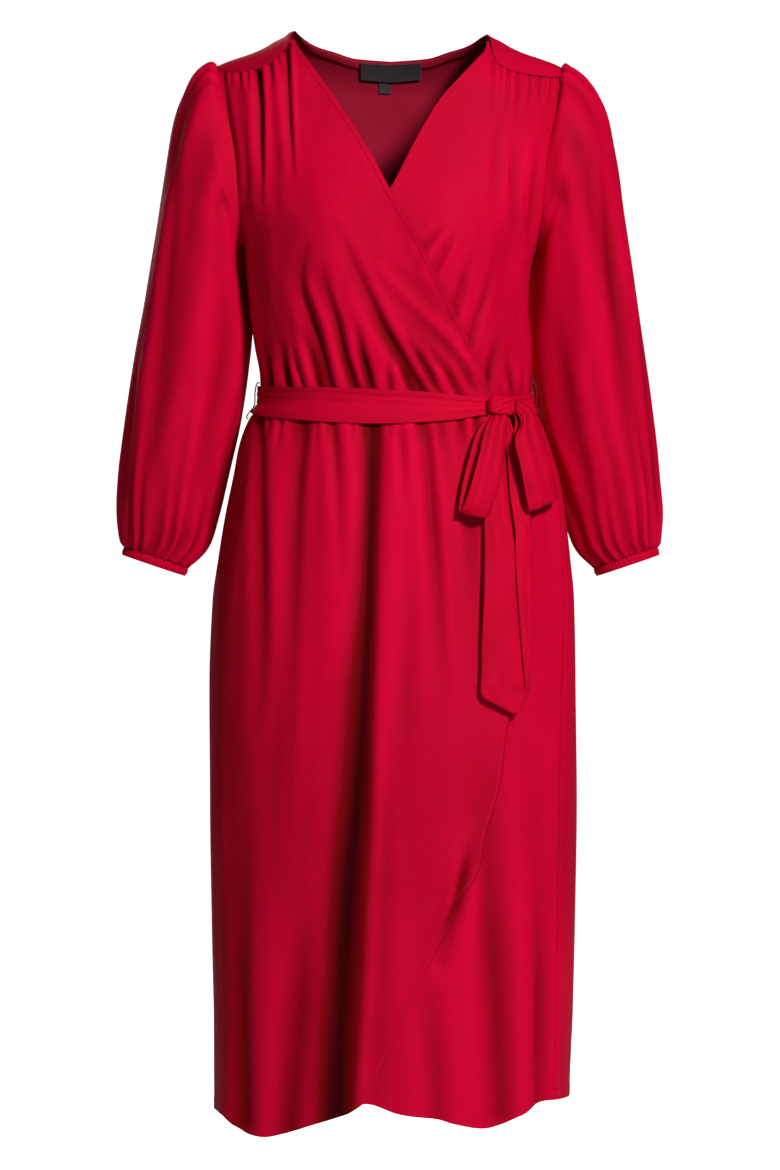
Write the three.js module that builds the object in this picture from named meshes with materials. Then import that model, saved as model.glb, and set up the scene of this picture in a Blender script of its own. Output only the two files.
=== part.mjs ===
// A wrap dress in crepe: surplice fronts, forward shoulder yoke, balloon sleeves with
// elastic cuffs, gathered wrap skirt with a curved over panel, and a self tie belt in a bow.
// It keeps the hollow form of a worn dress. Millimetres, +X the wearer's left, -Y the front,
// +Z up. The origin lies between the shoulders, level with the ridge that carries the dress,
// and a drop is a depth below that level.
import * as THREE from 'three';

const CREPE_WALL = 1.2;
const TIE_WALL = 1.6;
const BINDING_WALL = 1.0;
const LABEL_WALL = 0.8;
const WAIST_DROP = 384;
const WAIST_GAP = 0.9;
const SIDE_GAP = 0.5;
const PART_GAP = 0.5;
const SLEEVE_PART_ROW = 8;
const BACK_SKIRT_PART_ROW = 6;
const YOKE_GAP = 1.0;
const ARMHOLE_GAP = 1.3;
const UNDERARM_GAP = 1.7;
const UNDERARM_DROP = 208;
const HEM_DROP = 1150;
const UNDER_LAYER_INSET = 4.8;
const HIDDEN_LAYER_INSET = 3.2;
const BELT_OFFSET = 3.6;
const RIDGE_Y = 5;
const RIDGE_SHIFT = 4;
const RING_POWER = 0.85;
const KNOT_SQUARENESS = 0.45;
const FRONT_ROUNDOVER = 70;
const BACK_ROUNDOVER = 60;
const BUST = { x: 80, drop: 215, height: 12, width: 46, tall: 62 };
const CREPE_RED = 0xc8102f;

// Body of the dress. Columns: drop, centre x, half width, front depth, back depth.
const FIGURE = [
  [-40, 0, 200, 82, 84],
  [0, 0, 200, 90, 92],
  [50, 0, 198, 98, 100],
  [90, 0, 194, 106, 105],
  [130, 0, 188, 114, 107],
  [165, 0, 179, 121, 105],
  [208, -1, 162, 126, 101],
  [240, -4, 156, 127, 96],
  [280, -3, 153, 123, 90],
  [320, 2, 152, 115, 84],
  [355, 5, 149, 108, 80],
  [384, 4.5, 148, 104, 78],
  [401, 3, 159, 106, 82],
  [423, 3, 168, 109, 90],
  [467, 5, 179, 114, 106],
  [511, 4, 187, 119, 118],
  [555, 3, 193, 122, 126],
  [599, 2, 198, 125, 130],
  [687, 1, 200.5, 128, 132],
  [819, 2, 201, 130, 133],
  [951, 2, 199, 131, 133],
  [1039, 2, 197, 131, 133],
  [1127, 0.5, 195, 131, 133],
  [1200, 0, 194, 131, 133],
];

// Shoulder ridge. Columns: distance from the neck centre, drop.
const RIDGE = [
  [0, -26],
  [100, -26],
  [108, -24],
  [112, -20],
  [124, -14],
  [134, -8],
  [150, -1],
  [170, 5.5],
  [187, 12],
  [200, 20],
];

// Forward yoke seam. Columns: distance from the middle, drop on the right, drop on the left.
const YOKE_SEAM = [
  [106, -13, -8],
  [111, -6, 13],
  [118, 3, 19.5],
  [125, 11, 24],
  [135, 18, 26.5],
  [145, 21.7, 28],
  [158, 23.5, 29],
  [172, 24.6, 29],
  [188, 20, 27.4],
];

// Back neckline. Columns: distance from the middle, drop.
const BACK_NECK = [
  [0, -3],
  [40, -5.7],
  [65, -11.6],
  [86, -15],
  [99, -19],
  [107, -24],
];

// Armhole edge. Columns: drop, front distance from the middle, back distance.
const ARMHOLE = [
  [10, 191, 191],
  [20, 190, 190],
  [50, 183, 185],
  [85, 176, 180],
  [120, 170, 175],
  [150, 167, 171],
  [180, 164, 167],
  [198, 162.5, 164],
  [208, 161, 161],
];

// Edge of the over front, neck to waist. Columns: drop, x.
const OVER_EDGE = [
  [-20, -110.6],
  [3, -99.5],
  [30, -81.4],
  [58, -61.8],
  [92, -39.5],
  [125, -19.8],
  [163, -0.2],
  [196, 19.5],
  [227, 36.7],
  [255, 49.4],
  [287, 65.7],
  [319, 82.5],
  [355, 98.4],
  [384, 110],
];

// Edge of the under front, neck to waist. Columns: drop, x.
const UNDER_EDGE = [
  [-20, 101.9],
  [-6, 103.4],
  [5, 100.8],
  [15, 92.9],
  [35, 74.7],
  [60, 52.9],
  [96, 30.9],
  [139, 9],
  [200, -22],
  [250, -45],
  [300, -68],
  [340, -86],
  [384, -105],
];

// Free edge of the over skirt, waist to hem. Columns: drop, x.
const OVER_SKIRT_EDGE = [
  [384, 113],
  [427, 122],
  [560, 127],
  [695, 129],
  [744, 121.7],
  [795, 115.5],
  [856, 98.7],
  [880, 94.8],
  [899, 86.6],
  [917, 74.3],
  [939, 67.1],
  [971, 49.5],
  [985, 41.6],
  [1134, -28.3],
];

// Hidden edge of the under skirt, waist to hem. Columns: drop, x.
const UNDER_SKIRT_EDGE = [
  [384, -105],
  [600, -122],
  [1140, -134],
];

// Hems. Columns: x, drop.
const OVER_HEM = [
  [-200, 1155],
  [-182, 1158],
  [-170, 1167],
  [-152, 1174],
  [-136, 1175],
  [-118, 1171],
  [-84, 1159],
  [-48, 1147],
  [-28, 1134],
];
const UNDER_HEM = [
  [-140, 1136],
  [-28, 1136],
  [9, 1147],
  [50, 1153],
  [67, 1158],
  [100, 1164],
  [120, 1161],
  [141, 1152],
  [157, 1143],
  [170, 1140],
  [200, 1142],
];
const BACK_HEM = [
  [-200, 1155],
  [-150, 1149],
  [-60, 1145],
  [0, 1148],
  [70, 1144],
  [140, 1147],
  [200, 1142],
];

// Troughs of the fronts. Columns: path of x and drop, depth, width, head and tail strength.
const FRONT_TROUGHS = [
  [[[55, 384], [31, 342], [4, 311]], 2.6, 7, 1, 0],
  [[[38, 384], [0, 322], [-24, 275], [-58, 204]], 4.5, 9, 1, 0.1],
  [[[22, 384], [15, 361], [13, 350]], 2.2, 5, 1, 0],
  [[[1, 384], [-3, 360], [-5, 341]], 2.6, 6, 1, 0],
  [[[-19, 384], [-30, 340], [-40, 298]], 3.2, 7, 1, 0],
  [[[-34, 384], [-58, 302], [-76, 242]], 3.6, 8, 1, 0],
  [[[-62, 384], [-88, 288], [-98, 254], [-90, 208]], 4, 9, 1, 0],
  [[[-76, 384], [-86, 340], [-98, 304]], 3, 7, 1, 0],
  [[[-108, 384], [-114, 350], [-120, 315]], 3.4, 7, 1, 0],
  [[[-129, 384], [-132, 350], [-136, 317]], 3, 6, 1, 0],
  [[[-156, 24], [-155, 38], [-153, 49]], 1.4, 3, 1, 0.2],
  [[[-144, 22], [-141, 62], [-140, 172]], 3.2, 4.5, 1, 0],
  [[[-132, 17], [-130, 30], [-129, 40]], 1.4, 3, 1, 0.2],
  [[[-123, 9], [-121, 20], [-119, 33]], 1.4, 3, 1, 0.2],
  [[[-113, -2], [-110, 68], [-105, 153]], 3, 4, 1, 0],
  [[[-168, 24], [-166, 36], [-165, 48]], 1.4, 3, 1, 0.2],
  [[[-183, 24], [-175, 80], [-166, 160]], 3, 5, 0.8, 0.2],
  [[[33, 223], [44, 211], [56, 198]], 2.2, 6, 1, 0],
  [[[46, 249], [58, 226], [71, 204]], 2.6, 6, 1, 0],
  [[[78, 336], [103, 272], [113, 233]], 3, 7, 1, 0],
  [[[66, 297], [82, 251], [90, 230]], 3, 7, 1, 0],
  [[[110, 16], [110, 30], [110, 50]], 1.4, 3, 1, 0.2],
  [[[118, 20], [118, 34], [117, 54]], 1.3, 3, 1, 0.2],
  [[[126, 25], [126, 45], [125, 66]], 1.7, 3.5, 1, 0.2],
  [[[137, 27], [137, 48], [136, 71]], 1.7, 3.5, 1, 0.2],
  [[[150, 29], [151, 44], [150, 58]], 1.6, 3.5, 1, 0.2],
  [[[162, 29], [162, 43], [162, 57]], 1.6, 3.5, 1, 0.2],
  [[[174, 29], [174, 42], [173, 56]], 1.5, 3.5, 1, 0.2],
  [[[126, 340], [132, 362], [136, 384]], 2.4, 7, 0, 1],
];

// Troughs of the skirt front, in the same columns.
const SKIRT_TROUGHS = [
  [[[-15, 384], [-17, 449], [-28, 620], [-40, 769], [-52, 930], [-60, 1132]], 8.5, 17, 0.35, 1.2],
  [[[-88, 384], [-92, 410], [-100, 470], [-105, 600], [-112, 900]], 5, 11, 0.6, 0],
  [[[-62, 384], [-62, 410], [-57, 492], [-53, 600]], 4, 9, 0.7, 0],
  [[[9, 384], [9, 411], [11, 454], [12, 500]], 3.6, 7, 0.8, 0],
  [[[36, 384], [37, 411], [41, 471], [50, 600], [56, 700]], 4.2, 9, 0.7, 0],
  [[[52, 384], [52, 411], [56, 471]], 3, 6, 0.8, 0],
  [[[73, 384], [74, 410], [79, 460]], 3, 6, 0.8, 0],
  [[[90, 384], [91, 410], [95, 470]], 2.6, 6, 0.8, 0],
  [[[-140, 384], [-142, 448], [-139, 642], [-147, 771]], 4.5, 11, 0.5, 0],
  [[[-77, 384], [-77, 410], [-81, 440]], 2.6, 5.5, 0.8, 0],
  [[[-117, 384], [-118, 405], [-121, 436]], 2.8, 6, 0.8, 0],
  [[[-44, 384], [-44, 410], [-42, 440]], 2.6, 5.5, 0.8, 0],
  [[[-30, 384], [-30, 405], [-33, 430]], 2.2, 5, 0.8, 0],
  [[[-104, 384], [-105, 405], [-108, 435]], 2.4, 5.5, 0.8, 0],
  [[[-3, 384], [-2, 405], [0, 435]], 2.2, 5, 0.8, 0],
  [[[24, 384], [24, 405], [26, 440]], 2.4, 5.5, 0.8, 0],
  [[[108, 384], [109, 412], [113, 455]], 2.6, 6, 0.8, 0],
  [[[122, 384], [126, 412], [134, 470]], 3, 7, 0.8, 0],
  [[[134, 384], [141, 412], [152, 480]], 3, 7, 0.8, 0],
  [[[143, 384], [153, 412], [166, 500]], 2.6, 7, 0.8, 0],
  [[[72, 860], [62, 900], [55, 935]], 4, 14, 0, 0.6],
  [[[100, 760], [110, 950], [122, 1150]], 5, 22, 0, 1],
  [[[-88, 900], [-98, 1020], [-110, 1165]], 5, 20, 0, 1],
  [[[160, 900], [162, 1020], [162, 1140]], 6, 16, 0, 1],
];

// Troughs of the back bodice, in the same columns.
const BACK_TROUGHS = [
  [[[20, 384], [24, 352], [30, 316]], 2.6, 7, 1, 0],
  [[[-18, 384], [-22, 350], [-30, 306]], 3, 8, 1, 0],
  [[[48, 384], [54, 345], [66, 300]], 3, 8, 1, 0],
  [[[-46, 384], [-54, 350], [-64, 318]], 2.6, 7, 1, 0],
  [[[76, 384], [86, 340], [98, 286]], 3.2, 8, 1, 0],
  [[[-74, 384], [-84, 335], [-100, 280]], 3.4, 8, 1, 0],
  [[[102, 384], [112, 350], [120, 320]], 2.8, 7, 1, 0],
  [[[-100, 384], [-110, 352], [-120, 326]], 2.8, 7, 1, 0],
  [[[150, 190], [118, 210], [84, 222]], 3, 11, 0.6, 0],
  [[[-150, 186], [-120, 204], [-92, 214]], 3, 11, 0.6, 0],
];

// Gathers of the back skirt. Columns: x at the waist, x at the end, end drop, depth, width.
const BACK_GATHERS = [
  [-140, -158, 500, 2.8, 7],
  [-127, -142, 470, 2.6, 7],
  [-113, -130, 760, 4.2, 11],
  [-100, -110, 460, 2.6, 6],
  [-86, -94, 520, 3.2, 8],
  [-72, -80, 455, 2.6, 6],
  [-58, -66, 900, 5, 13],
  [-44, -48, 465, 2.8, 6],
  [-30, -34, 560, 3.4, 8],
  [-15, -17, 450, 2.6, 6],
  [0, 2, 640, 4, 10],
  [15, 18, 455, 2.6, 6],
  [29, 34, 520, 3.2, 7],
  [43, 50, 460, 2.6, 6],
  [57, 66, 980, 5.2, 14],
  [71, 79, 462, 2.8, 6],
  [85, 94, 540, 3.2, 8],
  [99, 110, 458, 2.6, 6],
  [112, 128, 720, 4, 11],
  [126, 142, 468, 2.6, 7],
  [139, 158, 510, 2.8, 7],
];

// Soft deep folds at the back hem, in the columns of the troughs.
const BACK_HEM_TROUGHS = [
  [[[-118, 880], [-126, 1010], [-132, 1150]], 6, 20, 0, 1],
  [[[-10, 900], [-4, 1020], [0, 1148]], 6, 22, 0, 1],
  [[[104, 860], [112, 1000], [120, 1146]], 6, 20, 0, 1],
];

// Sleeve sections. Columns: inner x of the right and of the left sleeve, inner drop,
// outer x, outer drop, half depth, gather.
const SLEEVE = [
  [165, 165, 212, 203, 11, 62, 0.6],
  [166, 165, 214, 219, 26, 66, 0.4],
  [166, 163, 217, 233, 56, 67, 0],
  [165.5, 160, 222, 243, 100, 66, 0],
  [164.5, 157.5, 232, 252, 150, 64, 0],
  [161.5, 154.5, 250, 262, 212, 61, 0],
  [157.5, 153.5, 292, 274, 282, 60, 0],
  [163, 155, 346, 285.5, 346, 60, 0],
  [169, 164, 405, 293.5, 408, 60, 0],
  [181, 181, 460, 299.5, 462, 58, 0.4],
  [192, 192, 505, 300.5, 505, 53, 1.4],
  [204, 204, 540, 298, 531, 45, 2.6],
  [226, 226, 563.5, 294, 540.5, 35, 1.2],
];
// How far back each sleeve swings. Columns: outer drop, right sleeve y, left sleeve y.
const SLEEVE_SWING = [
  [0, 2, 2],
  [150, 6, 8],
  [282, 12, 22],
  [408, 19, 42],
  [505, 21, 46],
  [560, 22, 46],
];
const CUFF = { gap: 0.9, height: 9.5, wall: 1.6 };

// Soft hollows of the right sleeve. Columns: start and end row, angle, turn, depth, width.
const RIGHT_SLEEVE_HOLLOWS = [
  [0.5, 5, 60, -8, 3, 13],
  [1, 6, 8, 10, 3.5, 16],
  [5, 10.5, 20, 6, 4, 17],
  [6, 11, -38, 8, 3.5, 15],
  [7, 11, 66, -4, 3.5, 14],
  [3, 8, -62, -10, 4, 15],
  [2, 9, 150, 12, 4, 18],
  [6, 11, 200, 6, 3.5, 15],
];
const LEFT_SLEEVE_HOLLOWS = [
  [0.5, 4.5, 52, -10, 3, 13],
  [1, 7, 14, 8, 3.5, 16],
  [4, 10.5, 32, 8, 4, 17],
  [6.5, 11, -30, 6, 3.5, 15],
  [7, 11, 72, -6, 3.5, 14],
  [3, 7.5, -58, -8, 4, 15],
  [2, 8, 140, 10, 4, 18],
  [6, 11, 205, 8, 3.5, 15],
];

// Belt edges. Columns: angle round the waist, top drop, bottom drop.
const BELT_EDGES = [
  [-180, 364, 400],
  [-135, 364, 399],
  [-90, 364.5, 396],
  [-60, 368, 402],
  [-35, 370, 407],
  [-6, 373, 411],
  [20, 377, 407.5],
  [40, 381, 401],
  [55, 379, 402],
  [90, 371, 396],
  [135, 365, 399],
  [180, 364, 400],
];

// Ties of the bow, from the knot to the tip. Columns: left x, left drop, left distance out
// from the skirt, right x, right drop, right distance out.
const LEFT_LOOP = [
  [98, 401, 17.5, 114, 401, 18.5],
  [90, 418, 22, 111, 418, 23],
  [84, 443, 25.5, 107.5, 445, 26.5],
  [77, 473, 25.5, 103.5, 475, 26],
  [71.5, 496, 22, 98, 499, 22],
  [68.6, 504.5, 17, 95.6, 511, 17],
  [68, 501, 13.5, 94.6, 508, 13.5],
  [71, 480, 12.5, 94, 486, 12.5],
  [77.5, 450, 12.5, 98.5, 450, 12.5],
  [85, 422, 12.5, 103, 422, 12.5],
  [97, 401, 12, 110, 401, 12],
];
const RIGHT_LOOP = [
  [122, 395, 17, 122, 383.5, 17],
  [125, 408, 21, 133, 390, 21],
  [118, 428, 24.5, 141, 411, 24.5],
  [122.5, 452, 25.5, 149.5, 440, 25],
  [128.5, 480, 24, 158, 470, 23],
  [133.5, 499, 20.5, 164.5, 486, 19],
  [137, 503.5, 15.5, 168.5, 489, 14.5],
  [134.5, 490, 11.5, 166, 476, 11],
  [128.5, 458, 10.5, 156, 446, 10],
  [124, 428, 10.5, 143, 413, 10],
  [126, 408, 11, 137, 392, 10.5],
  [122, 395, 12, 122, 384, 12],
];
const FRONT_TAIL = [
  [101, 401.5, 9, 112, 401.5, 9],
  [99, 430, 8.5, 116, 430, 9],
  [98, 470, 8.5, 119, 470, 10],
  [99, 505, 8.5, 121, 503, 10.5],
  [100, 540, 9, 126, 545, 11],
  [98.5, 590, 9.5, 131, 590, 11],
  [96.5, 640, 9, 137, 640, 10.5],
  [96, 675, 9, 141, 670, 10.5],
  [96, 700, 9, 141, 694, 10.5],
  [110, 711, 9.5, 135, 710, 10.5],
  [124, 720, 10, 129, 720.5, 10],
];
const REAR_TAIL = [
  [114.5, 401.5, 7.6, 122, 401.5, 7.6],
  [119, 425, 5.5, 131, 425, 6.5],
  [122, 450, 5.5, 138, 450, 7],
  [123.6, 485, 6.5, 142, 485, 7],
  [125, 505, 8.5, 143, 505, 8.5],
  [125.4, 525, 12.4, 144, 525, 11],
  [125.6, 550, 13, 144, 550, 11.5],
  [127.5, 590, 13.3, 144, 590, 11.8],
  [131, 640, 13.4, 142.5, 640, 12.8],
  [133.5, 670, 13.6, 140.5, 668, 13.4],
  [135.5, 692, 13.6, 138, 686, 13.4],
];
const KNOT = { x: 109.5, drop: 390, halfWidth: 12, halfHeight: 10.4, halfDepth: 7.6, out: 12.8, slant: 0.05 };

const clamp = (value, low, high) => Math.min(high, Math.max(low, value));
const mix = (from, to, share) => from + (to - from) * share;
const ease = (low, high, value) => {
  const share = clamp((value - low) / (high - low), 0, 1);
  return share * share * (3 - 2 * share);
};
const radians = (degrees) => (degrees * Math.PI) / 180;

// Slope of one column at a row, zero at a turn so that no value overshoots the table.
function slopeAt(rows, index, column) {
  const rise = (i) => (rows[i + 1][column] - rows[i][column]) / (rows[i + 1][0] - rows[i][0]);
  if (index === 0) return rise(0);
  if (index === rows.length - 1) return rise(index - 1);
  const before = rise(index - 1);
  const after = rise(index);
  return before * after <= 0 ? 0 : (2 * before * after) / (before + after);
}

// Smooth reading of a table whose first column rises. Gives the other columns.
function read(rows, key) {
  const last = rows.length - 1;
  const at = clamp(key, rows[0][0], rows[last][0]);
  let index = 0;
  while (index < last - 1 && at > rows[index + 1][0]) index += 1;
  const span = rows[index + 1][0] - rows[index][0];
  const t = (at - rows[index][0]) / span;
  return rows[index].slice(1).map((start, i) => {
    const end = rows[index + 1][i + 1];
    const out = slopeAt(rows, index, i + 1) * span;
    const into = slopeAt(rows, index + 1, i + 1) * span;
    const body = start + t * out + t * t * (3 * (end - start) - 2 * out - into);
    return body + t * t * t * (2 * (start - end) + out + into);
  });
}

const ridgeDrop = (x) => read(RIDGE, Math.abs(x + RIDGE_SHIFT))[0];
const yokeDrop = (x) => read(YOKE_SEAM, Math.abs(x))[x < 0 ? 0 : 1];

// Depth of the round over the shoulder, 0 on the ridge and 1 below it.
function shoulderTurn(rise, back) {
  const height = back ? BACK_ROUNDOVER : FRONT_ROUNDOVER;
  const left = 1 - clamp(rise / height, 0, 1);
  return Math.sqrt(1 - left * left);
}

// A point of the figure at a place across and a drop, on the front or the back.
function skin(x, drop, back) {
  const [centre, half, front, rear] = read(FIGURE, drop);
  const lean = clamp((x - centre) / half, -1, 1);
  const bow = Math.sqrt(1 - lean * lean) ** RING_POWER;
  const across = (Math.abs(x) - BUST.x) / BUST.width;
  const down = (drop - BUST.drop) / BUST.tall;
  const bust = back ? 0 : BUST.height * Math.exp(-across * across - down * down) * bow;
  const ring = back ? rear * bow : -front * bow - bust;
  const y = RIDGE_Y + (ring - RIDGE_Y) * shoulderTurn(drop - ridgeDrop(x), back);
  return new THREE.Vector3(x, y, -drop);
}

// Angle round the ring of a place across, and back again.
function angleOf(x, drop) {
  const [centre, half] = read(FIGURE, drop);
  return Math.asin(clamp((x - centre) / half, -1, 1));
}
function acrossOf(angle, drop) {
  const [centre, half] = read(FIGURE, drop);
  return centre + half * Math.sin(angle);
}

// Outward direction at each point of a grid of rows and columns.
function gridNormals(grid, closed) {
  const rows = grid.length;
  const columns = grid[0].length;
  return grid.map((row, r) => row.map((point, c) => {
    const right = closed ? (c + 1) % columns : Math.min(c + 1, columns - 1);
    const left = closed ? (c + columns - 1) % columns : Math.max(c - 1, 0);
    const along = grid[r][right].clone().sub(grid[r][left]);
    const down = grid[Math.min(r + 1, rows - 1)][c].clone().sub(grid[Math.max(r - 1, 0)][c]);
    return down.cross(along).normalize();
  }));
}

// The grid moved outwards by a distance that may vary from point to point.
function moved(grid, closed, distance) {
  const normals = gridNormals(grid, closed);
  return grid.map((row, r) => row.map((point, c) => {
    const step = typeof distance === 'number' ? distance : distance(point, r, c);
    return point.clone().addScaledVector(normals[r][c], step);
  }));
}

// A closed thin wall on both sides of a grid.
function clothWall(grid, wall, closed) {
  const rows = grid.length;
  const columns = grid[0].length;
  const layers = [moved(grid, closed, wall / 2), moved(grid, closed, -wall / 2)];
  const positions = [];
  layers.forEach((layer) => layer.flat().forEach((p) => positions.push(p.x, p.y, p.z)));
  const index = [];
  const vertex = (layer, r, c) => layer * rows * columns + r * columns + (c % columns);
  const quad = (a, b, c, d) => index.push(a, b, c, c, b, d);
  const lastColumn = closed ? columns : columns - 1;
  for (let c = 0; c < lastColumn; c += 1) {
    for (let r = 0; r < rows - 1; r += 1) {
      quad(vertex(0, r, c), vertex(0, r + 1, c), vertex(0, r, c + 1), vertex(0, r + 1, c + 1));
      quad(vertex(1, r, c), vertex(1, r, c + 1), vertex(1, r + 1, c), vertex(1, r + 1, c + 1));
    }
    quad(vertex(1, 0, c), vertex(0, 0, c), vertex(1, 0, c + 1), vertex(0, 0, c + 1));
    const b = rows - 1;
    quad(vertex(0, b, c), vertex(1, b, c), vertex(0, b, c + 1), vertex(1, b, c + 1));
  }
  for (let r = 0; r < rows - 1 && !closed; r += 1) {
    const e = columns - 1;
    quad(vertex(1, r, 0), vertex(1, r + 1, 0), vertex(0, r, 0), vertex(0, r + 1, 0));
    quad(vertex(0, r, e), vertex(0, r + 1, e), vertex(1, r, e), vertex(1, r + 1, e));
  }
  const geometry = new THREE.BufferGeometry();
  geometry.setAttribute('position', new THREE.Float32BufferAttribute(positions, 3));
  geometry.setIndex(index);
  geometry.computeVertexNormals();
  return geometry;
}

// Troughs whose paths are laid on the figure, ready to be measured against.
function laidTroughs(troughs, back) {
  return troughs.map(([path, depth, width, head, tail]) => ({
    path: path.map(([x, drop]) => skin(x, drop, back)), depth, width, head, tail,
  }));
}

// Nearest distance from a point to a path and how far along the path it lies.
function nearestOnPath(path, point) {
  const best = { distance: Infinity, along: 0 };
  for (let i = 0; i < path.length - 1; i += 1) {
    const step = path[i + 1].clone().sub(path[i]);
    const share = clamp(point.clone().sub(path[i]).dot(step) / step.lengthSq(), 0, 1);
    const distance = path[i].clone().addScaledVector(step, share).distanceTo(point);
    if (distance < best.distance) {
      best.distance = distance;
      best.along = (i + share) / (path.length - 1);
    }
  }
  return best;
}

// Height of the cloth above the figure at a point, from a set of troughs.
function relief(troughs, point) {
  let height = 0;
  troughs.forEach(({ path, depth, width, head, tail }) => {
    const { distance, along } = nearestOnPath(path, point);
    if (distance > 4 * width) return;
    const strength = along < 0.5 ? mix(head, 1, 2 * along) : mix(1, tail, 2 * along - 1);
    const hollow = Math.exp(-((distance / width) ** 2));
    const crest = Math.exp(-(((distance - 2 * width) / (1.1 * width)) ** 2));
    height += depth * strength * (0.4 * crest - hollow);
  });
  return height;
}

const frontFolds = laidTroughs(FRONT_TROUGHS, false);
const skirtFolds = laidTroughs(SKIRT_TROUGHS, false);
const backFolds = laidTroughs(BACK_TROUGHS, true);
const backSkirtFolds = laidTroughs([
  ...BACK_GATHERS.map(([x, endX, endDrop, depth, width]) => [
    [[x, WAIST_DROP], [mix(x, endX, 0.3), mix(WAIST_DROP, endDrop, 0.3)], [endX, endDrop]],
    depth, width, 0.6, 0,
  ]),
  ...BACK_HEM_TROUGHS,
], true);

// Folds flatten where the belt ties them in and where a side seam holds them.
function held(point) {
  const waist = mix(0.35, 1, ease(20, 50, Math.abs(-point.z - WAIST_DROP)));
  const fromSide = Math.PI / 2 - Math.abs(angleOf(point.x, -point.z));
  const side = -point.z > UNDERARM_DROP ? ease(0, radians(14), fromSide) : 1;
  return waist * side;
}

// A panel of the front between two edges that are tables of drop and x. Each row has its
// drop at the left and at the right edge; the first and last rows follow their own curves.
function frontGrid({ rows, columns, left, right, topCurve, bottomCurve }) {
  const last = rows.length - 1;
  return rows.map(([leftDrop, rightDrop], r) => {
    const from = angleOf(left(leftDrop), leftDrop);
    const to = angleOf(right(rightDrop), rightDrop);
    const down = (leftDrop - rows[0][0]) / (rows[last][0] - rows[0][0]);
    return Array.from({ length: columns + 1 }, (_, c) => {
      const u = c / columns;
      const angle = mix(from, to, u);
      const plain = mix(leftDrop, rightDrop, u);
      let drop = plain;
      for (let pass = 0; pass < 3; pass += 1) {
        const x = acrossOf(angle, drop);
        const top = topCurve ? (topCurve(x) - mix(rows[0][0], rows[0][1], u)) * (1 - down) ** 3 : 0;
        const bottomPlain = mix(rows[last][0], rows[last][1], u);
        const bottom = bottomCurve ? (bottomCurve(x) - bottomPlain) * down ** 3 : 0;
        drop = plain + top + bottom;
      }
      return skin(acrossOf(angle, drop), drop, false);
    });
  });
}

// Distance that an under layer lies inside the outer one. It is nothing at the yoke seam,
// where both layers are sewn in level.
function underInset(edge) {
  return (point) => {
    const drop = -point.z;
    const atYoke = ease(35, 110, drop);
    const angle = Math.abs(angleOf(point.x, drop));
    const covered = ease(0, 40, edge(drop) - point.x);
    const atSide = point.x > 0 ? 1 - ease(radians(56), radians(80), angle) : 1;
    return (UNDER_LAYER_INSET + HIDDEN_LAYER_INSET * covered) * atSide * atYoke;
  };
}

const overEdge = (drop) => read(OVER_EDGE, drop)[0];
const underEdge = (drop) => read(UNDER_EDGE, drop)[0];
const overSkirtEdge = (drop) => read(OVER_SKIRT_EDGE, drop)[0];
const underSkirtEdge = (drop) => read(UNDER_SKIRT_EDGE, drop)[0];

// The armhole edge above the underarm and the side seam below it, on either side.
function sideEdge(side, back) {
  return (drop) => {
    const [centre, half, front, rear] = read(FIGURE, drop);
    const depth = back ? rear : front;
    const gapAngle = Math.acos((SIDE_GAP / 2 / depth) ** (1 / RING_POWER));
    const seam = centre + side * half * Math.sin(gapAngle);
    if (drop >= UNDERARM_DROP) return seam;
    const armhole = side * read(ARMHOLE, drop)[back ? 1 : 0];
    return side > 0 ? Math.min(armhole, seam) : Math.max(armhole, seam);
  };
}

const WAIST_TOP = WAIST_DROP - WAIST_GAP / 2;
const WAIST_BOTTOM = WAIST_DROP + WAIST_GAP / 2;
const FRONT_SIDE_DROPS = [24, 34, 52, 82, 115, 148, 180, UNDERARM_DROP, 240, 276, 312, 344, 366];

function frontRows(side, neckDrop) {
  const drops = [...FRONT_SIDE_DROPS, WAIST_TOP];
  return drops.map((sideDrop) => {
    const share = (sideDrop - drops[0]) / (WAIST_TOP - drops[0]);
    const edgeDrop = mix(neckDrop, WAIST_TOP, share);
    return side < 0 ? [sideDrop, edgeDrop] : [edgeDrop, sideDrop];
  });
}
const BACK_TOP_X = [189, 181, 171, 160, 148, 136, 125, 116, 109.5, 106.7, 104, 99, 90, 74, 52, 27, 0];
const NECK_SIDE = { yokeEnd: 109.5, neckPoint: 104 };

// Drop of the front's top edge, straight between the corners of the yoke that it meets.
function belowYoke(x) {
  const size = Math.abs(x);
  const corner = clamp(BACK_TOP_X.findIndex((edge) => edge <= size), 1, 8);
  const outer = BACK_TOP_X[corner - 1];
  const inner = BACK_TOP_X[corner];
  const side = x < 0 ? -1 : 1;
  const share = (outer - size) / (outer - inner);
  return mix(yokeDrop(side * outer), yokeDrop(side * inner), share) + YOKE_GAP;
}
const frontHeight = (point) => relief(frontFolds, point) * held(point);

const overFrontGrid = moved(frontGrid({
  rows: frontRows(-1, -12), columns: 35, left: sideEdge(-1, false), right: overEdge,
  topCurve: belowYoke,
}), false, frontHeight);

const bodiceInset = underInset(overEdge);
const underFrontGrid = moved(frontGrid({
  rows: frontRows(1, -7), columns: 28, left: underEdge, right: sideEdge(1, false),
  topCurve: belowYoke,
}), false, (point) => frontHeight(point) - bodiceInset(point));

// The back runs from the yoke seam over the shoulders to the waist. Its rows are measured
// by a turn over the shoulder: the drop below the ridge is a rounded function of the turn.
function turnOf(rise, back) {
  const height = back ? BACK_ROUNDOVER : FRONT_ROUNDOVER;
  const turn = rise < height ? Math.acos(1 - rise / height) : Math.PI / 2 + rise / height - 1;
  return back ? turn : -turn;
}

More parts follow.
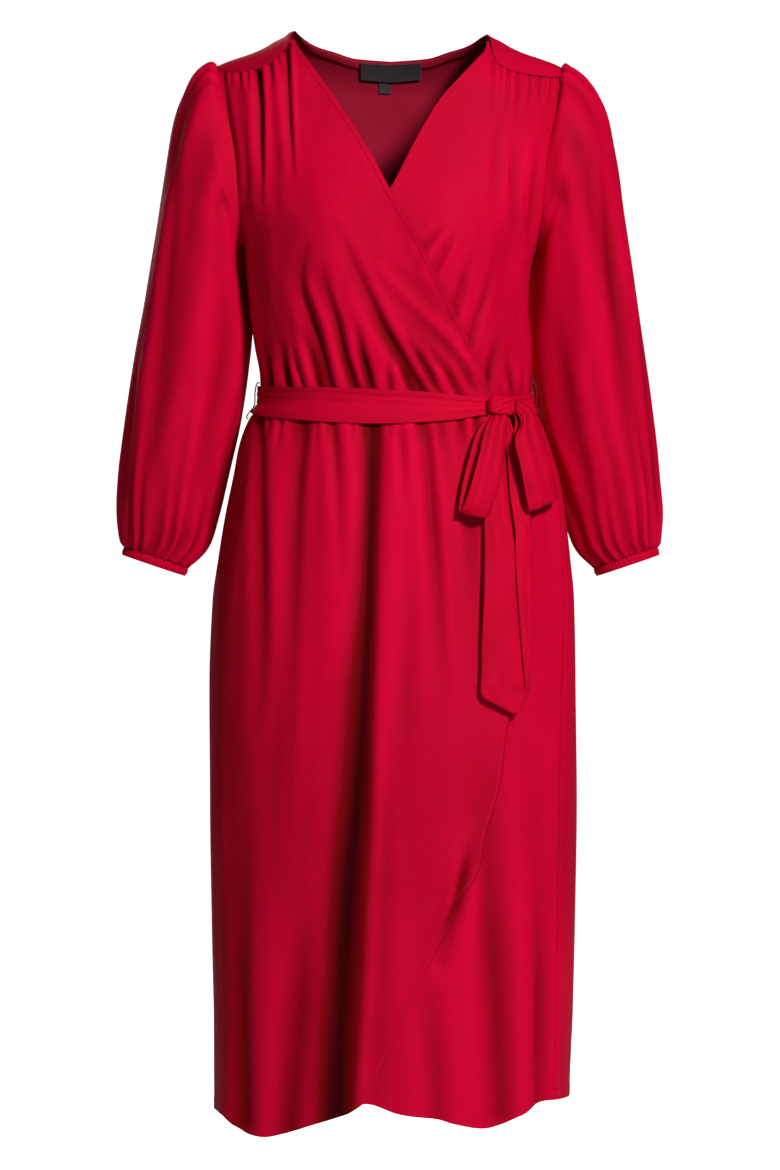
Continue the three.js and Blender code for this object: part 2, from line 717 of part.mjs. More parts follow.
function riseOf(turn) {
  const height = turn > 0 ? BACK_ROUNDOVER : FRONT_ROUNDOVER;
  const size = Math.abs(turn);
  const extra = size - Math.PI / 2;
  return extra < 0 ? height * (1 - Math.cos(size)) : height * (1 + extra);
}
const BACK_SIDE_DROPS = [24, 48, 82, 115, 148, 180, UNDERARM_DROP, 246, 290, 330, 362, WAIST_TOP];

// Turn of the back's top edge: on the yoke seam, along the side of the neck, or on the
// back neckline.
function topTurn(x) {
  const { yokeEnd, neckPoint } = NECK_SIDE;
  const size = Math.abs(x);
  const side = x < 0 ? -1 : 1;
  const onYoke = (across) => turnOf(yokeDrop(across) - ridgeDrop(across), false);
  if (size >= yokeEnd) return onYoke(x);
  if (size >= neckPoint) {
    return (onYoke(side * yokeEnd) * (size - neckPoint)) / (yokeEnd - neckPoint);
  }
  const rise = read(BACK_NECK, size)[0] - ridgeDrop(x);
  return turnOf(rise * (1 - (size / neckPoint) ** 8), true);
}

function backGrid() {
  const topWidth = BACK_TOP_X[0];
  const topX = [...BACK_TOP_X, ...BACK_TOP_X.slice(0, -1).reverse().map((x) => -x)];
  const edgeX = 188;
  const edgeTop = turnOf(yokeDrop(edgeX) - ridgeDrop(edgeX), false);
  const edgeBottom = turnOf(WAIST_TOP - ridgeDrop(150), true);
  const edgeTurns = [edgeTop, 0, ...BACK_SIDE_DROPS.map((drop) => {
    const x = drop < WAIST_TOP ? read(ARMHOLE, drop)[1] : 150;
    return turnOf(drop - ridgeDrop(x), true);
  })];
  return edgeTurns.map((edgeTurn) => {
    const share = (edgeTurn - edgeTop) / (edgeBottom - edgeTop);
    return topX.map((start) => {
      const spread = start / topWidth;
      const top = topTurn(start);
      const turnAt = (across) => {
        const bottom = turnOf(WAIST_TOP - ridgeDrop(across), true);
        return mix(edgeTop, bottom, share) + (top - edgeTop) * (1 - share) ** 5;
      };
      let x = start;
      let drop = 0;
      for (let pass = 0; pass < 8; pass += 1) {
        drop = Math.min(ridgeDrop(x) + riseOf(turnAt(x)), WAIST_TOP);
        const [centre] = read(FIGURE, drop);
        const width = Math.abs(sideEdge(Math.sign(start) || 1, true)(drop) - centre);
        x = mix(0, centre, ease(20, 120, drop)) + spread * width;
      }
      return skin(x, drop, turnAt(x) > 0);
    });
  });
}
const backBase = backGrid();
const backBodiceGrid = moved(backBase, false, (point) => (
  relief(backFolds, point) * held(point) * ease(60, 120, -point.z)
));

// Skirt panels.
const SKIRT_DROPS = [WAIST_BOTTOM, 398, 414, 440, 485, 550, 640, 740, 840, 930, 1010, 1080];
function skirtRows(leftEnd, rightEnd) {
  const share = (drop) => (drop - WAIST_BOTTOM) / (HEM_DROP - WAIST_BOTTOM);
  return [...SKIRT_DROPS, HEM_DROP].map((drop) => [
    mix(WAIST_BOTTOM, leftEnd, share(drop)), mix(WAIST_BOTTOM, rightEnd, share(drop)),
  ]);
}
const skirtHeight = (point) => relief(skirtFolds, point) * held(point);
const overSkirtGrid = moved(frontGrid({
  rows: skirtRows(1155, 1134), columns: 40, left: sideEdge(-1, false), right: overSkirtEdge,
  bottomCurve: (x) => read(OVER_HEM, x)[0],
}), false, skirtHeight);

const skirtInset = underInset(overSkirtEdge);
const underSkirtGrid = moved(frontGrid({
  rows: skirtRows(1136, 1142), columns: 30, left: underSkirtEdge, right: sideEdge(1, false),
  bottomCurve: (x) => read(UNDER_HEM, x)[0],
}), false, (point) => skirtHeight(point) - skirtInset(point));

function backSkirt() {
  const columns = 40;
  return skirtRows(HEM_DROP, HEM_DROP).map(([drop]) => (
    Array.from({ length: columns + 1 }, (_, c) => {
      const left = angleOf(sideEdge(1, true)(drop), drop);
      const angle = left * (1 - (2 * c) / columns);
      const lift = (read(BACK_HEM, acrossOf(angle, drop))[0] - HEM_DROP) * ease(900, HEM_DROP, drop);
      return skin(acrossOf(angle, drop + lift), drop + lift, true);
    })
  ));
}
const backSkirtGrid = moved(backSkirt(), false, (point) => (
  relief(backSkirtFolds, point) * held(point)
));

// One cloth parted across at a row of its grid, into an upper and a lower piece.
function parted(grid, row) {
  const rim = (next) => grid[row].map((point, c) => {
    const way = grid[next][c].clone().sub(point);
    return point.clone().addScaledVector(way, PART_GAP / 2 / way.length());
  });
  return [
    [...grid.slice(0, row), rim(row - 1)],
    [rim(row + 1), ...grid.slice(row + 1)],
  ];
}

// The armhole ring of one sleeve, taken from the edges that it is sewn to.
function armholeRing(side) {
  const frontPanel = side < 0 ? overFrontGrid : underFrontGrid;
  const frontColumn = side < 0 ? 0 : frontPanel[0].length - 1;
  const backColumn = side < 0 ? backBodiceGrid[0].length - 1 : 0;
  const underRow = FRONT_SIDE_DROPS.indexOf(UNDERARM_DROP);
  const up = [];
  for (let r = underRow; r > 0; r -= 1) up.push(frontPanel[r][frontColumn]);
  const down = [];
  const backUnder = BACK_SIDE_DROPS.indexOf(UNDERARM_DROP) + 2;
  for (let r = 0; r < backUnder; r += 1) down.push(backBodiceGrid[r][backColumn]);
  const corners = [...up, ...down];
  const ring = [];
  corners.forEach((point, i) => {
    const next = corners[(i + 1) % corners.length];
    ring.push(point.clone(), point.clone().lerp(next, 0.5));
  });
  const top = 2 * (up.length + 1);
  return { ring, top };
}

// A sleeve from the armhole to the cuff, and the section where the cuff is sewn on.
function sleeveGrid(side, hollows) {
  const { ring, top } = armholeRing(side);
  const count = ring.length;
  const lengths = ring.map((point, i) => point.distanceTo(ring[(i + 1) % count]));
  const total = (from, to) => lengths.slice(from, to).reduce((sum, length) => sum + length, 0);
  const angles = ring.map((_, i) => (i <= top
    ? -90 + (180 * total(0, i)) / total(0, top)
    : 90 + (180 * total(top, i)) / total(top, count)));
  const first = ring.map((point) => {
    const low = ease(150, 205, -point.z);
    return point.clone().setX(point.x + side * mix(ARMHOLE_GAP, UNDERARM_GAP, low));
  });
  const rows = [first];
  SLEEVE.forEach(([rightX, leftX, innerDrop, outerX, outerDrop, halfDepth], section) => {
    const innerX = side < 0 ? rightX : leftX;
    const swing = read(SLEEVE_SWING, outerDrop)[side < 0 ? 0 : 1];
    rows.push(angles.map((degrees, i) => {
      const angle = radians(degrees);
      const reach = (Math.sin(angle) + 1) / 2;
      const point = new THREE.Vector3(
        side * mix(innerX, outerX, reach),
        swing - halfDepth * Math.cos(angle),
        -mix(innerDrop, outerDrop, reach),
      );
      const follow = Math.max(0, 0.75 - 0.3 * section);
      const shift = first[i].y - (mix(first[0].y, first[top].y, reach) - 58 * Math.cos(angle));
      point.y += shift * follow;
      return point;
    }));
  });
  const columns = side < 0 ? rows.map((row) => [...row].reverse()) : rows;
  const turned = side < 0 ? [...angles].reverse() : angles;
  return moved(columns, true, (point, r, c) => {
    if (r === 0) return 0;
    const gather = SLEEVE[r - 1][6] * (c % 2 === 0 ? 1 : -1);
    const head = r < 3 ? ease(20, 70, turned[c]) * (1 - ease(110, 160, turned[c])) : 1;
    let height = gather * head;
    hollows.forEach(([start, end, angle, turn, depth, width]) => {
      const along = clamp((r - start) / (end - start), 0, 1);
      const away = Math.abs(((turned[c] - angle - turn * along + 540) % 360) - 180) / width;
      height -= depth * Math.sin(Math.PI * along) * Math.exp(-away * away);
    });
    return height;
  });
}

// The elastic cuff below the last section of a sleeve.
function cuffGrid(side) {
  const [innerX, , innerDrop, outerX, outerDrop, halfDepth] = SLEEVE[SLEEVE.length - 1];
  const slope = Math.atan2(innerDrop - outerDrop, outerX - innerX);
  const swing = read(SLEEVE_SWING, outerDrop)[side < 0 ? 0 : 1];
  const count = 28;
  const steps = [0, 1];
  return steps.map((share) => Array.from({ length: count }, (_, i) => {
    const angle = radians(-90 + (360 * i) / count) * (side < 0 ? -1 : 1);
    const reach = (Math.sin(angle) + 1) / 2;
    const down = CUFF.gap + CUFF.height * share;
    const across = mix(innerX, outerX, reach);
    return new THREE.Vector3(
      side * (across + down * Math.sin(slope)),
      swing - halfDepth * Math.cos(angle),
      -(mix(innerDrop, outerDrop, reach) + down * Math.cos(slope)),
    );
  }));
}

// The belt round the waist, with soft lengthwise folds.
function beltGrid() {
  const columns = 36;
  const acrossBelt = [0, 0.3, 0.62, 1];
  const fold = [0, 0.7, -0.2, 0];
  const base = acrossBelt.map((share) => Array.from({ length: columns }, (_, i) => {
    const degrees = -180 + (360 * i) / columns;
    const [top, bottom] = read(BELT_EDGES, degrees);
    const drop = mix(top, bottom, share);
    return skin(acrossOf(radians(degrees), drop), drop, Math.cos(radians(degrees)) < 0);
  }));
  return moved(base, true, (point, r) => BELT_OFFSET + fold[r]);
}

// A point at a distance out from the front.
function outFrom(x, drop, out) {
  const point = skin(x, drop, false);
  const [centre, half] = read(FIGURE, drop);
  const lean = clamp((x - centre) / half, -0.95, 0.95);
  const direction = new THREE.Vector3(lean * 0.8, -Math.sqrt(1 - lean * lean), 0).normalize();
  return point.addScaledVector(direction, out);
}

// A tie between two edges, with a slight hollow along its middle.
function tieGrid(table, columns, hollow) {
  return table.map(([leftX, leftDrop, leftOut, rightX, rightDrop, rightOut]) => (
    Array.from({ length: columns + 1 }, (_, c) => {
      const u = c / columns;
      const out = mix(leftOut, rightOut, u) + hollow * Math.sin(Math.PI * u);
      return outFrom(mix(leftX, rightX, u), mix(leftDrop, rightDrop, u), out);
    })
  ));
}

// The knot, a rounded block of cloth turned to the belt.
function knotGeometry() {
  const geometry = new THREE.SphereGeometry(1, 14, 10);
  const position = geometry.getAttribute('position');
  const box = (value) => Math.sign(value) * Math.abs(value) ** KNOT_SQUARENESS;
  for (let i = 0; i < position.count; i += 1) {
    const x = box(position.getX(i)) * KNOT.halfWidth;
    const drop = -box(position.getY(i)) * KNOT.halfHeight + KNOT.slant * x;
    const out = box(position.getZ(i)) * KNOT.halfDepth;
    const seat = outFrom(KNOT.x + x, KNOT.drop + drop, KNOT.out + out);
    position.setXYZ(i, seat.x, seat.y, seat.z);
  }
  geometry.computeVertexNormals();
  return geometry;
}

// A thread carrier that holds the belt at a side seam.
function carrierGrid(side) {
  const rows = [[361, 1.6], [364, 5.6], [381, 6.2], [397, 5.8], [401, 1.8]];
  return rows.map(([drop, out]) => [-1, 1].map((edge) => {
    const angle = radians(side * 84);
    const base = skin(acrossOf(angle, drop), drop, false);
    return base.add(new THREE.Vector3(side * out, edge * side * 0.9, 0));
  }));
}

// A place on a panel grid at a column and a row that may lie between two.
function onGrid(grid, column, row) {
  const r = Math.min(Math.floor(row), grid.length - 2);
  const c = Math.min(Math.floor(column), grid[0].length - 2);
  const upper = grid[r][c].clone().lerp(grid[r][c + 1], column - c);
  const lower = grid[r + 1][c].clone().lerp(grid[r + 1][c + 1], column - c);
  return upper.lerp(lower, row - r);
}

// A piece laid inside the back neck: its corners follow the panel, moved inwards. The
// depths are taken below the neckline.
function insideNeck(columns, depths, inset) {
  const normals = gridNormals(backBodiceGrid, false);
  return depths.map((depth) => columns.map((column) => {
    const start = onGrid(backBodiceGrid, column, 0);
    let row = 0;
    while (onGrid(backBodiceGrid, column, row).distanceTo(start) < depth) row += 0.01;
    const inward = onGrid(normals, column, row).normalize();
    return onGrid(backBodiceGrid, column, row).addScaledVector(inward, -inset);
  }));
}
const NECK_MIDDLE = BACK_TOP_X.length - 1;
const neckColumns = [-5, -4, -3, -2, -1, 0, 1, 2, 3, 4, 5].map((step) => NECK_MIDDLE + step);

const dress = new THREE.Group();
function addPiece(name, geometry, color, roughness) {
  const material = new THREE.MeshStandardMaterial({ color, roughness, metalness: 0 });
  const mesh = new THREE.Mesh(geometry, material);
  mesh.name = name;
  dress.add(mesh);
}
const addCloth = (name, grid, closed = false) => (
  addPiece(name, clothWall(grid, CREPE_WALL, closed), CREPE_RED, 0.82)
);
const addTie = (name, grid) => addPiece(name, clothWall(grid, TIE_WALL, false), CREPE_RED, 0.8);

addCloth('back_bodice', backBodiceGrid);
addCloth('front_over', overFrontGrid);
addCloth('front_under', underFrontGrid);
const [backSkirtUpper, backSkirtLower] = parted(backSkirtGrid, BACK_SKIRT_PART_ROW);
addCloth('skirt_back', backSkirtUpper);
addCloth('skirt_back_lower', backSkirtLower);
addCloth('skirt_over', overSkirtGrid);
addCloth('skirt_under', underSkirtGrid);
[['sleeve_right', -1, RIGHT_SLEEVE_HOLLOWS], ['sleeve_left', 1, LEFT_SLEEVE_HOLLOWS]]
  .forEach(([name, side, hollows]) => {
    const [upper, lower] = parted(sleeveGrid(side, hollows), SLEEVE_PART_ROW);
    addCloth(name, upper, true);
    addCloth(`${name}_lower`, lower, true);
  });
addPiece('cuff_right', clothWall(cuffGrid(-1), CUFF.wall, true), CREPE_RED, 0.85);
addPiece('cuff_left', clothWall(cuffGrid(1), CUFF.wall, true), CREPE_RED, 0.85);
addPiece('belt_band', clothWall(beltGrid(), CREPE_WALL, true), CREPE_RED, 0.8);
addPiece('belt_knot', knotGeometry(), CREPE_RED, 0.8);
addTie('bow_loop_right', tieGrid(LEFT_LOOP, 3, 1.2));
addTie('bow_loop_left', tieGrid(RIGHT_LOOP, 3, 1.2));
addTie('tie_tail_front', tieGrid(FRONT_TAIL, 4, 1.2));
addTie('tie_tail_rear', tieGrid(REAR_TAIL, 4, 0));
addPiece('carrier_right', clothWall(carrierGrid(-1), 0.9, false), CREPE_RED, 0.9);
addPiece('carrier_left', clothWall(carrierGrid(1), 0.9, false), CREPE_RED, 0.9);
const binding = insideNeck(neckColumns, [0.8, 4.5, 8.5, 12.5], 1.8);
addPiece('back_neck_binding', clothWall(binding, BINDING_WALL, false), 0xb8203a, 0.85);
const labelColumns = [-1.25, -0.5, 0, 0.5, 1.25].map((step) => NECK_MIDDLE + step);
const label = insideNeck(labelColumns, [2, 9, 17, 27], 3.2);
addPiece('neck_label', clothWall(label, LABEL_WALL, false), 0x2c2426, 0.7);
const tab = insideNeck([NECK_MIDDLE + 0.05, NECK_MIDDLE + 0.55], [21, 31, 42], 1.6);
addPiece('size_tab', clothWall(tab, 0.6, false), 0x2c2426, 0.7);

export default dress;
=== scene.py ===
"""Looks of a red crepe wrap dress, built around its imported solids.

The dress is filled out as on a wearer: surplice fronts gathered into a forward yoke, balloon
sleeves in elastic cuffs, a gathered wrap skirt with a curved free edge, and a tie belt in a
bow. Forms are worked out in millimetres in the part's own frame, with a drop for the depth
below the shoulders, and become meshes in metres.
"""

from __future__ import annotations

import logging
import math
from dataclasses import dataclass, field
from enum import Enum
from typing import Callable, Sequence

import bmesh
import bpy
import numpy as np
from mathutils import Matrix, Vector

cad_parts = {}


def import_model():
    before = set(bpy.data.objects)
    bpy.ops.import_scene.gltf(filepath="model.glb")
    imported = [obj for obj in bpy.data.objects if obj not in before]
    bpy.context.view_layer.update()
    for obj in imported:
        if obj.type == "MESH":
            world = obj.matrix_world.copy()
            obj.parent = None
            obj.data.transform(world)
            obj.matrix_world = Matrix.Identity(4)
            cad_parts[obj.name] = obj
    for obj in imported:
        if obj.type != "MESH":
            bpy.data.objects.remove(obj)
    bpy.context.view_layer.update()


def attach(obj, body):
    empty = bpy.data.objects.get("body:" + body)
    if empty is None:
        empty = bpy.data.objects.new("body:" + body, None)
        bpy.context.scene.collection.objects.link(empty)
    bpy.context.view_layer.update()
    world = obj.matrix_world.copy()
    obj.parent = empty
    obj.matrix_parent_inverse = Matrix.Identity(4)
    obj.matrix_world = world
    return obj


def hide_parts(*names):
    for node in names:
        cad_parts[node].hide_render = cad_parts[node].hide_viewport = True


LOG = logging.getLogger("wrap_dress")
MM = 0.001
Array = np.ndarray
Row = Sequence[float]
Colour = tuple[float, float, float]
Place = tuple[float, float, float]

WAIST_DROP = 384.0
WAIST_TOP = 383.7
WAIST_BOTTOM = 384.2
UNDERARM_DROP = 208.0
HEM_DROP = 1150.0
SIDE_GAP = 0.02
EDGE_TURN = 7.0
HEM_TURN = 12.0
STITCH_LIFT = 0.1
NOISE_RADIUS = 140.0
NOISE_START = 40.0


class Side(Enum):
    """A side of the wearer, with the sign of x there."""

    RIGHT = -1
    LEFT = 1


class Hold(Enum):
    """How a sheet of cloth is held."""

    HUNG = "hung"
    GATHERED = "gathered"
    FOLDED = "folded"
    STRETCHED = "stretched"


def mix(start: Array | float, end: Array | float, share: Array | float) -> Array | float:
    """Return the value at a share of the way from start to end."""
    return start + (end - start) * share


def ease(low: float, high: float, value: Array | float) -> Array | float:
    """Return a smooth step from 0 at low to 1 at high."""
    share = np.clip((value - low) / (high - low), 0.0, 1.0)
    return share * share * (3.0 - 2.0 * share)


def bell(value: Array, width: float) -> Array:
    """Return a bell that is 1 where the value is 0."""
    return np.exp(-((value / width) ** 2))


def unit(vectors: Array) -> Array:
    """Return the vectors at length one."""
    return vectors / np.maximum(np.linalg.norm(vectors, axis=-1, keepdims=True), 1e-9)


class Table:
    """Smooth reading of a table whose first column rises, with no overshoot."""

    def __init__(self, rows: Sequence[Row]) -> None:
        """Keep the rows and work out a slope for each column at each row.

        Args:
            rows: rows of a key and one or more values.
        """
        data = np.array(rows, float)
        self.keys, self.values = data[:, 0], data[:, 1:]
        rise = np.diff(self.values, axis=0) / np.diff(self.keys)[:, None]
        slopes = np.zeros_like(self.values)
        slopes[0], slopes[-1] = rise[0], rise[-1]
        before, after = rise[:-1], rise[1:]
        total = np.where(before + after == 0, 1.0, before + after)
        slopes[1:-1] = np.where(before * after <= 0, 0.0, 2.0 * before * after / total)
        self.slopes = slopes

    def __call__(self, key: Array | float, column: int = 0) -> Array:
        """Read one column.

        Args:
            key: where to read, one number or an array.
            column: which of the values, counted from 0.

        Returns:
            The values there, in the shape of the key.
        """
        at = np.clip(key, self.keys[0], self.keys[-1])
        i = np.clip(np.searchsorted(self.keys, at, "right") - 1, 0, len(self.keys) - 2)
        span = self.keys[i + 1] - self.keys[i]
        t = (at - self.keys[i]) / span
        start, end = self.values[i, column], self.values[i + 1, column]
        out, into = self.slopes[i, column] * span, self.slopes[i + 1, column] * span
        body = start + t * out + t * t * (3.0 * (end - start) - 2.0 * out - into)
        return body + t**3 * (2.0 * (start - end) + out + into)


def table(rows: Sequence[Row]) -> Table:
    """Return a dataclass field that holds a table."""
    return field(default_factory=lambda: Table(rows))


def spline_rows(rows: Array, steps: int) -> Array:
    """Draw smooth rows through control rows.

    Args:
        rows: control rows, first axis along the spline.
        steps: number of rows between two control rows.

    Returns:
        The denser rows, from the first control row to the last.
    """
    rows = np.asarray(rows, float)
    before = np.concatenate([2 * rows[:1] - rows[1:2], rows[:-1]])
    after = np.concatenate([rows[1:], 2 * rows[-1:] - rows[-2:-1]])
    slope = (after - before) / 2
    out = []
    for i in range(len(rows) - 1):
        for t in np.arange(steps) / steps:
            a, b, m, n = rows[i], rows[i + 1], slope[i], slope[i + 1]
            out.append(a + t * m + t * t * (3 * (b - a) - 2 * m - n) + t**3 * (2 * (a - b) + m + n))
    return np.array(out + [rows[-1]])


def soft_noise(u: Array, v: Array, seed: int) -> Array:
    """Return smooth noise between -1 and 1 over a plane with cells of size one.

    Args:
        u: first coordinate.
        v: second coordinate.
        seed: number that fixes the pattern.

    Returns:
        The noise at each place.
    """
    lattice = np.random.default_rng(seed).uniform(-1.0, 1.0, (64, 64))
    iu, iv = np.floor(u).astype(int), np.floor(v).astype(int)
    fu, fv = ease(0.0, 1.0, u - iu), ease(0.0, 1.0, v - iv)
    near = mix(lattice[iu % 64, iv % 64], lattice[(iu + 1) % 64, iv % 64], fu)
    far = mix(lattice[iu % 64, (iv + 1) % 64], lattice[(iu + 1) % 64, (iv + 1) % 64], fu)
    return mix(near, far, fv)


def spaced(count: int, near_start: float = 0.0, near_end: float = 0.0, extra: int = 14) -> Array:
    """Return shares from 0 to 1, with extra ones close to the ends that have a hem.

    Args:
        count: number of even steps.
        near_start: share at the start that is divided more finely.
        near_end: share at the end that is divided more finely.
        extra: number of steps in each such share.

    Returns:
        The rising shares.
    """
    parts = [np.linspace(near_start, 1.0 - near_end, count + 1)]
    if near_start:
        parts.insert(0, np.linspace(0.0, near_start, extra, endpoint=False))
    if near_end:
        parts.append(np.linspace(1.0 - near_end, 1.0, extra + 1)[1:])
    return np.concatenate(parts)


@dataclass
class Figure:
    """The filled-out form that every panel lies on."""

    ridge_y: float = 5.0
    ridge_shift: float = 4.0
    ring_power: float = 0.85
    front_roundover: float = 70.0
    back_roundover: float = 60.0
    bust_x: float = 80.0
    bust_drop: float = 215.0
    bust_height: float = 12.0
    bust_width: float = 46.0
    bust_tall: float = 62.0
    # Columns: drop, centre x, half width, front depth, back depth.
    rings: Table = table([
        [-40, 0, 200, 82, 84], [0, 0, 200, 90, 92], [50, 0, 198, 98, 100],
        [90, 0, 194, 106, 105], [130, 0, 188, 114, 107], [165, 0, 179, 121, 105],
        [208, -1, 162, 126, 101], [240, -4, 156, 127, 96], [280, -3, 153, 123, 90],
        [320, 2, 152, 115, 84], [355, 5, 149, 108, 80], [384, 4.5, 148, 104, 78],
        [401, 3, 159, 106, 82], [423, 3, 168, 109, 90], [467, 5, 179, 114, 106],
        [511, 4, 187, 119, 118], [555, 3, 193, 122, 126], [599, 2, 198, 125, 130],
        [687, 1, 200.5, 128, 132], [819, 2, 201, 130, 133], [951, 2, 199, 131, 133],
        [1039, 2, 197, 131, 133], [1127, 0.5, 195, 131, 133], [1200, 0, 194, 131, 133],
    ])
    # Columns: distance from the neck centre, drop.
    ridge: Table = table([
        [0, -26], [100, -26], [108, -24], [112, -20], [124, -14], [134, -8], [150, -1],
        [170, 5.5], [187, 12], [200, 20],
    ])
    # Columns: distance from the middle, drop on the right, drop on the left.
    yoke: Table = table([
        [106, -13, -8], [111, -6, 13], [118, 3, 19.5], [125, 11, 24], [135, 18, 26.5],
        [145, 21.7, 28], [158, 23.5, 29], [172, 24.6, 29], [188, 20, 27.4],
    ])
    # Columns: drop, front distance from the middle, back distance.
    armhole: Table = table([
        [10, 191, 191], [20, 190, 190], [50, 183, 185], [85, 176, 180], [120, 170, 175],
        [150, 167, 171], [180, 164, 167], [198, 162.5, 164], [208, 161, 161],
    ])

    def ridge_drop(self, x: Array) -> Array:
        """Return the drop of the shoulder ridge at a place across."""
        return self.ridge(np.abs(x + self.ridge_shift))

    def yoke_drop(self, x: Array) -> Array:
        """Return the drop of the yoke seam at a place across."""
        return np.where(x < 0, self.yoke(np.abs(x), 0), self.yoke(np.abs(x), 1))

    def skin(self, x: Array, drop: Array, back: Array | bool) -> Array:
        """Return points of the form.

        Args:
            x: places across.
            drop: depths below the shoulders.
            back: whether each point is on the back.

        Returns:
            Points with x, y and z on the last axis.
        """
        centre, half = self.rings(drop, 0), self.rings(drop, 1)
        front, rear = self.rings(drop, 2), self.rings(drop, 3)
        lean = np.clip((x - centre) / half, -1.0, 1.0)
        bow = np.sqrt(1.0 - lean * lean) ** self.ring_power
        across = (np.abs(x) - self.bust_x) / self.bust_width
        down = (drop - self.bust_drop) / self.bust_tall
        bust = self.bust_height * np.exp(-across * across - down * down) * bow
        ring = np.where(back, rear * bow, -front * bow - bust)
        height = np.where(back, self.back_roundover, self.front_roundover)
        left = 1.0 - np.clip((drop - self.ridge_drop(x)) / height, 0.0, 1.0)
        y = self.ridge_y + (ring - self.ridge_y) * np.sqrt(1.0 - left * left)
        return np.stack([x + 0.0 * y, y, -drop + 0.0 * y], axis=-1)

    def angle_of(self, x: Array, drop: Array) -> Array:
        """Return the angle round the ring of a place across, 0 at the middle."""
        lean = (x - self.rings(drop, 0)) / self.rings(drop, 1)
        return np.arcsin(np.clip(lean, -1.0, 1.0))

    def across_of(self, angle: Array, drop: Array) -> Array:
        """Return the place across of an angle round the ring."""
        return self.rings(drop, 0) + self.rings(drop, 1) * np.sin(angle)

    def side_edge(self, side: Side, back: bool, drop: Array) -> Array:
        """Return the armhole edge, or the side seam below the underarm.

        Args:
            side: side of the wearer.
            back: whether the panel is a back panel.
            drop: depths below the shoulders.

        Returns:
            The x of the edge at each drop.
        """
        depth = self.rings(drop, 3 if back else 2)
        gap = np.arccos((SIDE_GAP / 2.0 / depth) ** (1.0 / self.ring_power))
        seam = self.rings(drop, 0) + side.value * self.rings(drop, 1) * np.sin(gap)
        hole = side.value * self.armhole(drop, 1 if back else 0)
        nearer = np.minimum(hole, seam) if side is Side.LEFT else np.maximum(hole, seam)
        return np.where(drop >= UNDERARM_DROP, seam, nearer)

    def out_from(self, x: Array, drop: Array, out: Array) -> Array:
        """Return points at a distance out from the front of the form."""
        lean = np.clip((x - self.rings(drop, 0)) / self.rings(drop, 1), -0.95, 0.95)
        direction = unit(np.stack([0.8 * lean, -np.sqrt(1 - lean * lean), 0 * lean], axis=-1))
        return self.skin(x, drop, False) + direction * np.asarray(out)[..., None]


@dataclass(frozen=True)
class Trough:
    """A fold laid on the form: a soft trough with a crest on each side.

    The strength runs from head at the first point over 1 in the middle to tail at the last.
    A lean over 0 makes the side towards +x the steeper one.
    """

    path: Sequence[Row]
    depth: float
    width: float
    head: float = 1.0
    tail: float = 0.0
    lean: float = 0.0


def troughs(rows: Sequence[tuple[Row | float, ...]]) -> list[Trough]:
    """Return the folds of a table: x and drop of the points, then depth, width, head, tail, lean."""
    return [Trough(np.reshape(path, (-1, 2)), *sizes) for path, *sizes in rows]


def fan(rows: Sequence[Row], bend: Callable[[Row], Row], head: float) -> list[Trough]:
    """Return gathers that fan out below the belt.

    Args:
        rows: x at the belt, x and drop of the end, depth and width of each gather.
        bend: gives x and drop of the middle point of a row.
        head: strength at the belt.

    Returns:
        The folds.
    """
    return [Trough([[row[0], WAIST_DROP], bend(row), row[1:3]], row[3], row[4], head) for row in rows]


class FoldSet:
    """Troughs that share one side of the form."""

    def __init__(self, figure: Figure, troughs: Sequence[Trough], back: bool) -> None:
        """Lay the troughs on the form.

        Args:
            figure: the form.
            troughs: the folds, each a path of x and drop.
            back: whether they lie on the back.
        """
        self.laid = []
        for trough in troughs:
            path = np.array(trough.path, float)
            steps = max(3, 15 // (len(path) - 1))
            dense = spline_rows(path, steps)
            self.laid.append((trough, figure.skin(dense[:, 0], dense[:, 1], back)))

    def height(self, points: Array) -> Array:
        """Return the height of the cloth above the form at each point.

        Args:
            points: points on the form.

        Returns:
            Heights in millimetres, below 0 in a trough.
        """
        flat = points.reshape(-1, 3)
        total = np.zeros(len(flat))
        for trough, path in self.laid:
            reach = 4.2 * trough.width
            near = np.where(np.all((flat > path.min(0) - reach) & (flat < path.max(0) + reach), 1))[0]
            if not len(near):
                continue
            spots = flat[near]
            best = np.full(len(near), 1e9)
            along = np.zeros(len(near))
            sign = np.zeros(len(near))
            for i in range(len(path) - 1):
                step = path[i + 1] - path[i]
                share = np.clip(((spots - path[i]) @ step) / (step @ step), 0.0, 1.0)
                gap = spots - path[i] - share[:, None] * step
                far = np.linalg.norm(gap, axis=1)
                closer = far < best
                best = np.where(closer, far, best)
                along = np.where(closer, (i + share) / (len(path) - 1), along)
                sign = np.where(closer, np.sign(gap[:, 0]), sign)
            width = trough.width * (1.0 - trough.lean * sign)
            strength = np.where(along < 0.5, mix(trough.head, 1.0, 2.0 * along),
                                mix(1.0, trough.tail, 2.0 * along - 1.0))
            hollow = np.exp(-np.abs(best / width) ** 1.8)
            crest = np.exp(-(((best - 2.0 * width) / (1.1 * width)) ** 2))
            total[near] += trough.depth * strength * (0.4 * crest - hollow)
        return total.reshape(points.shape[:-1])


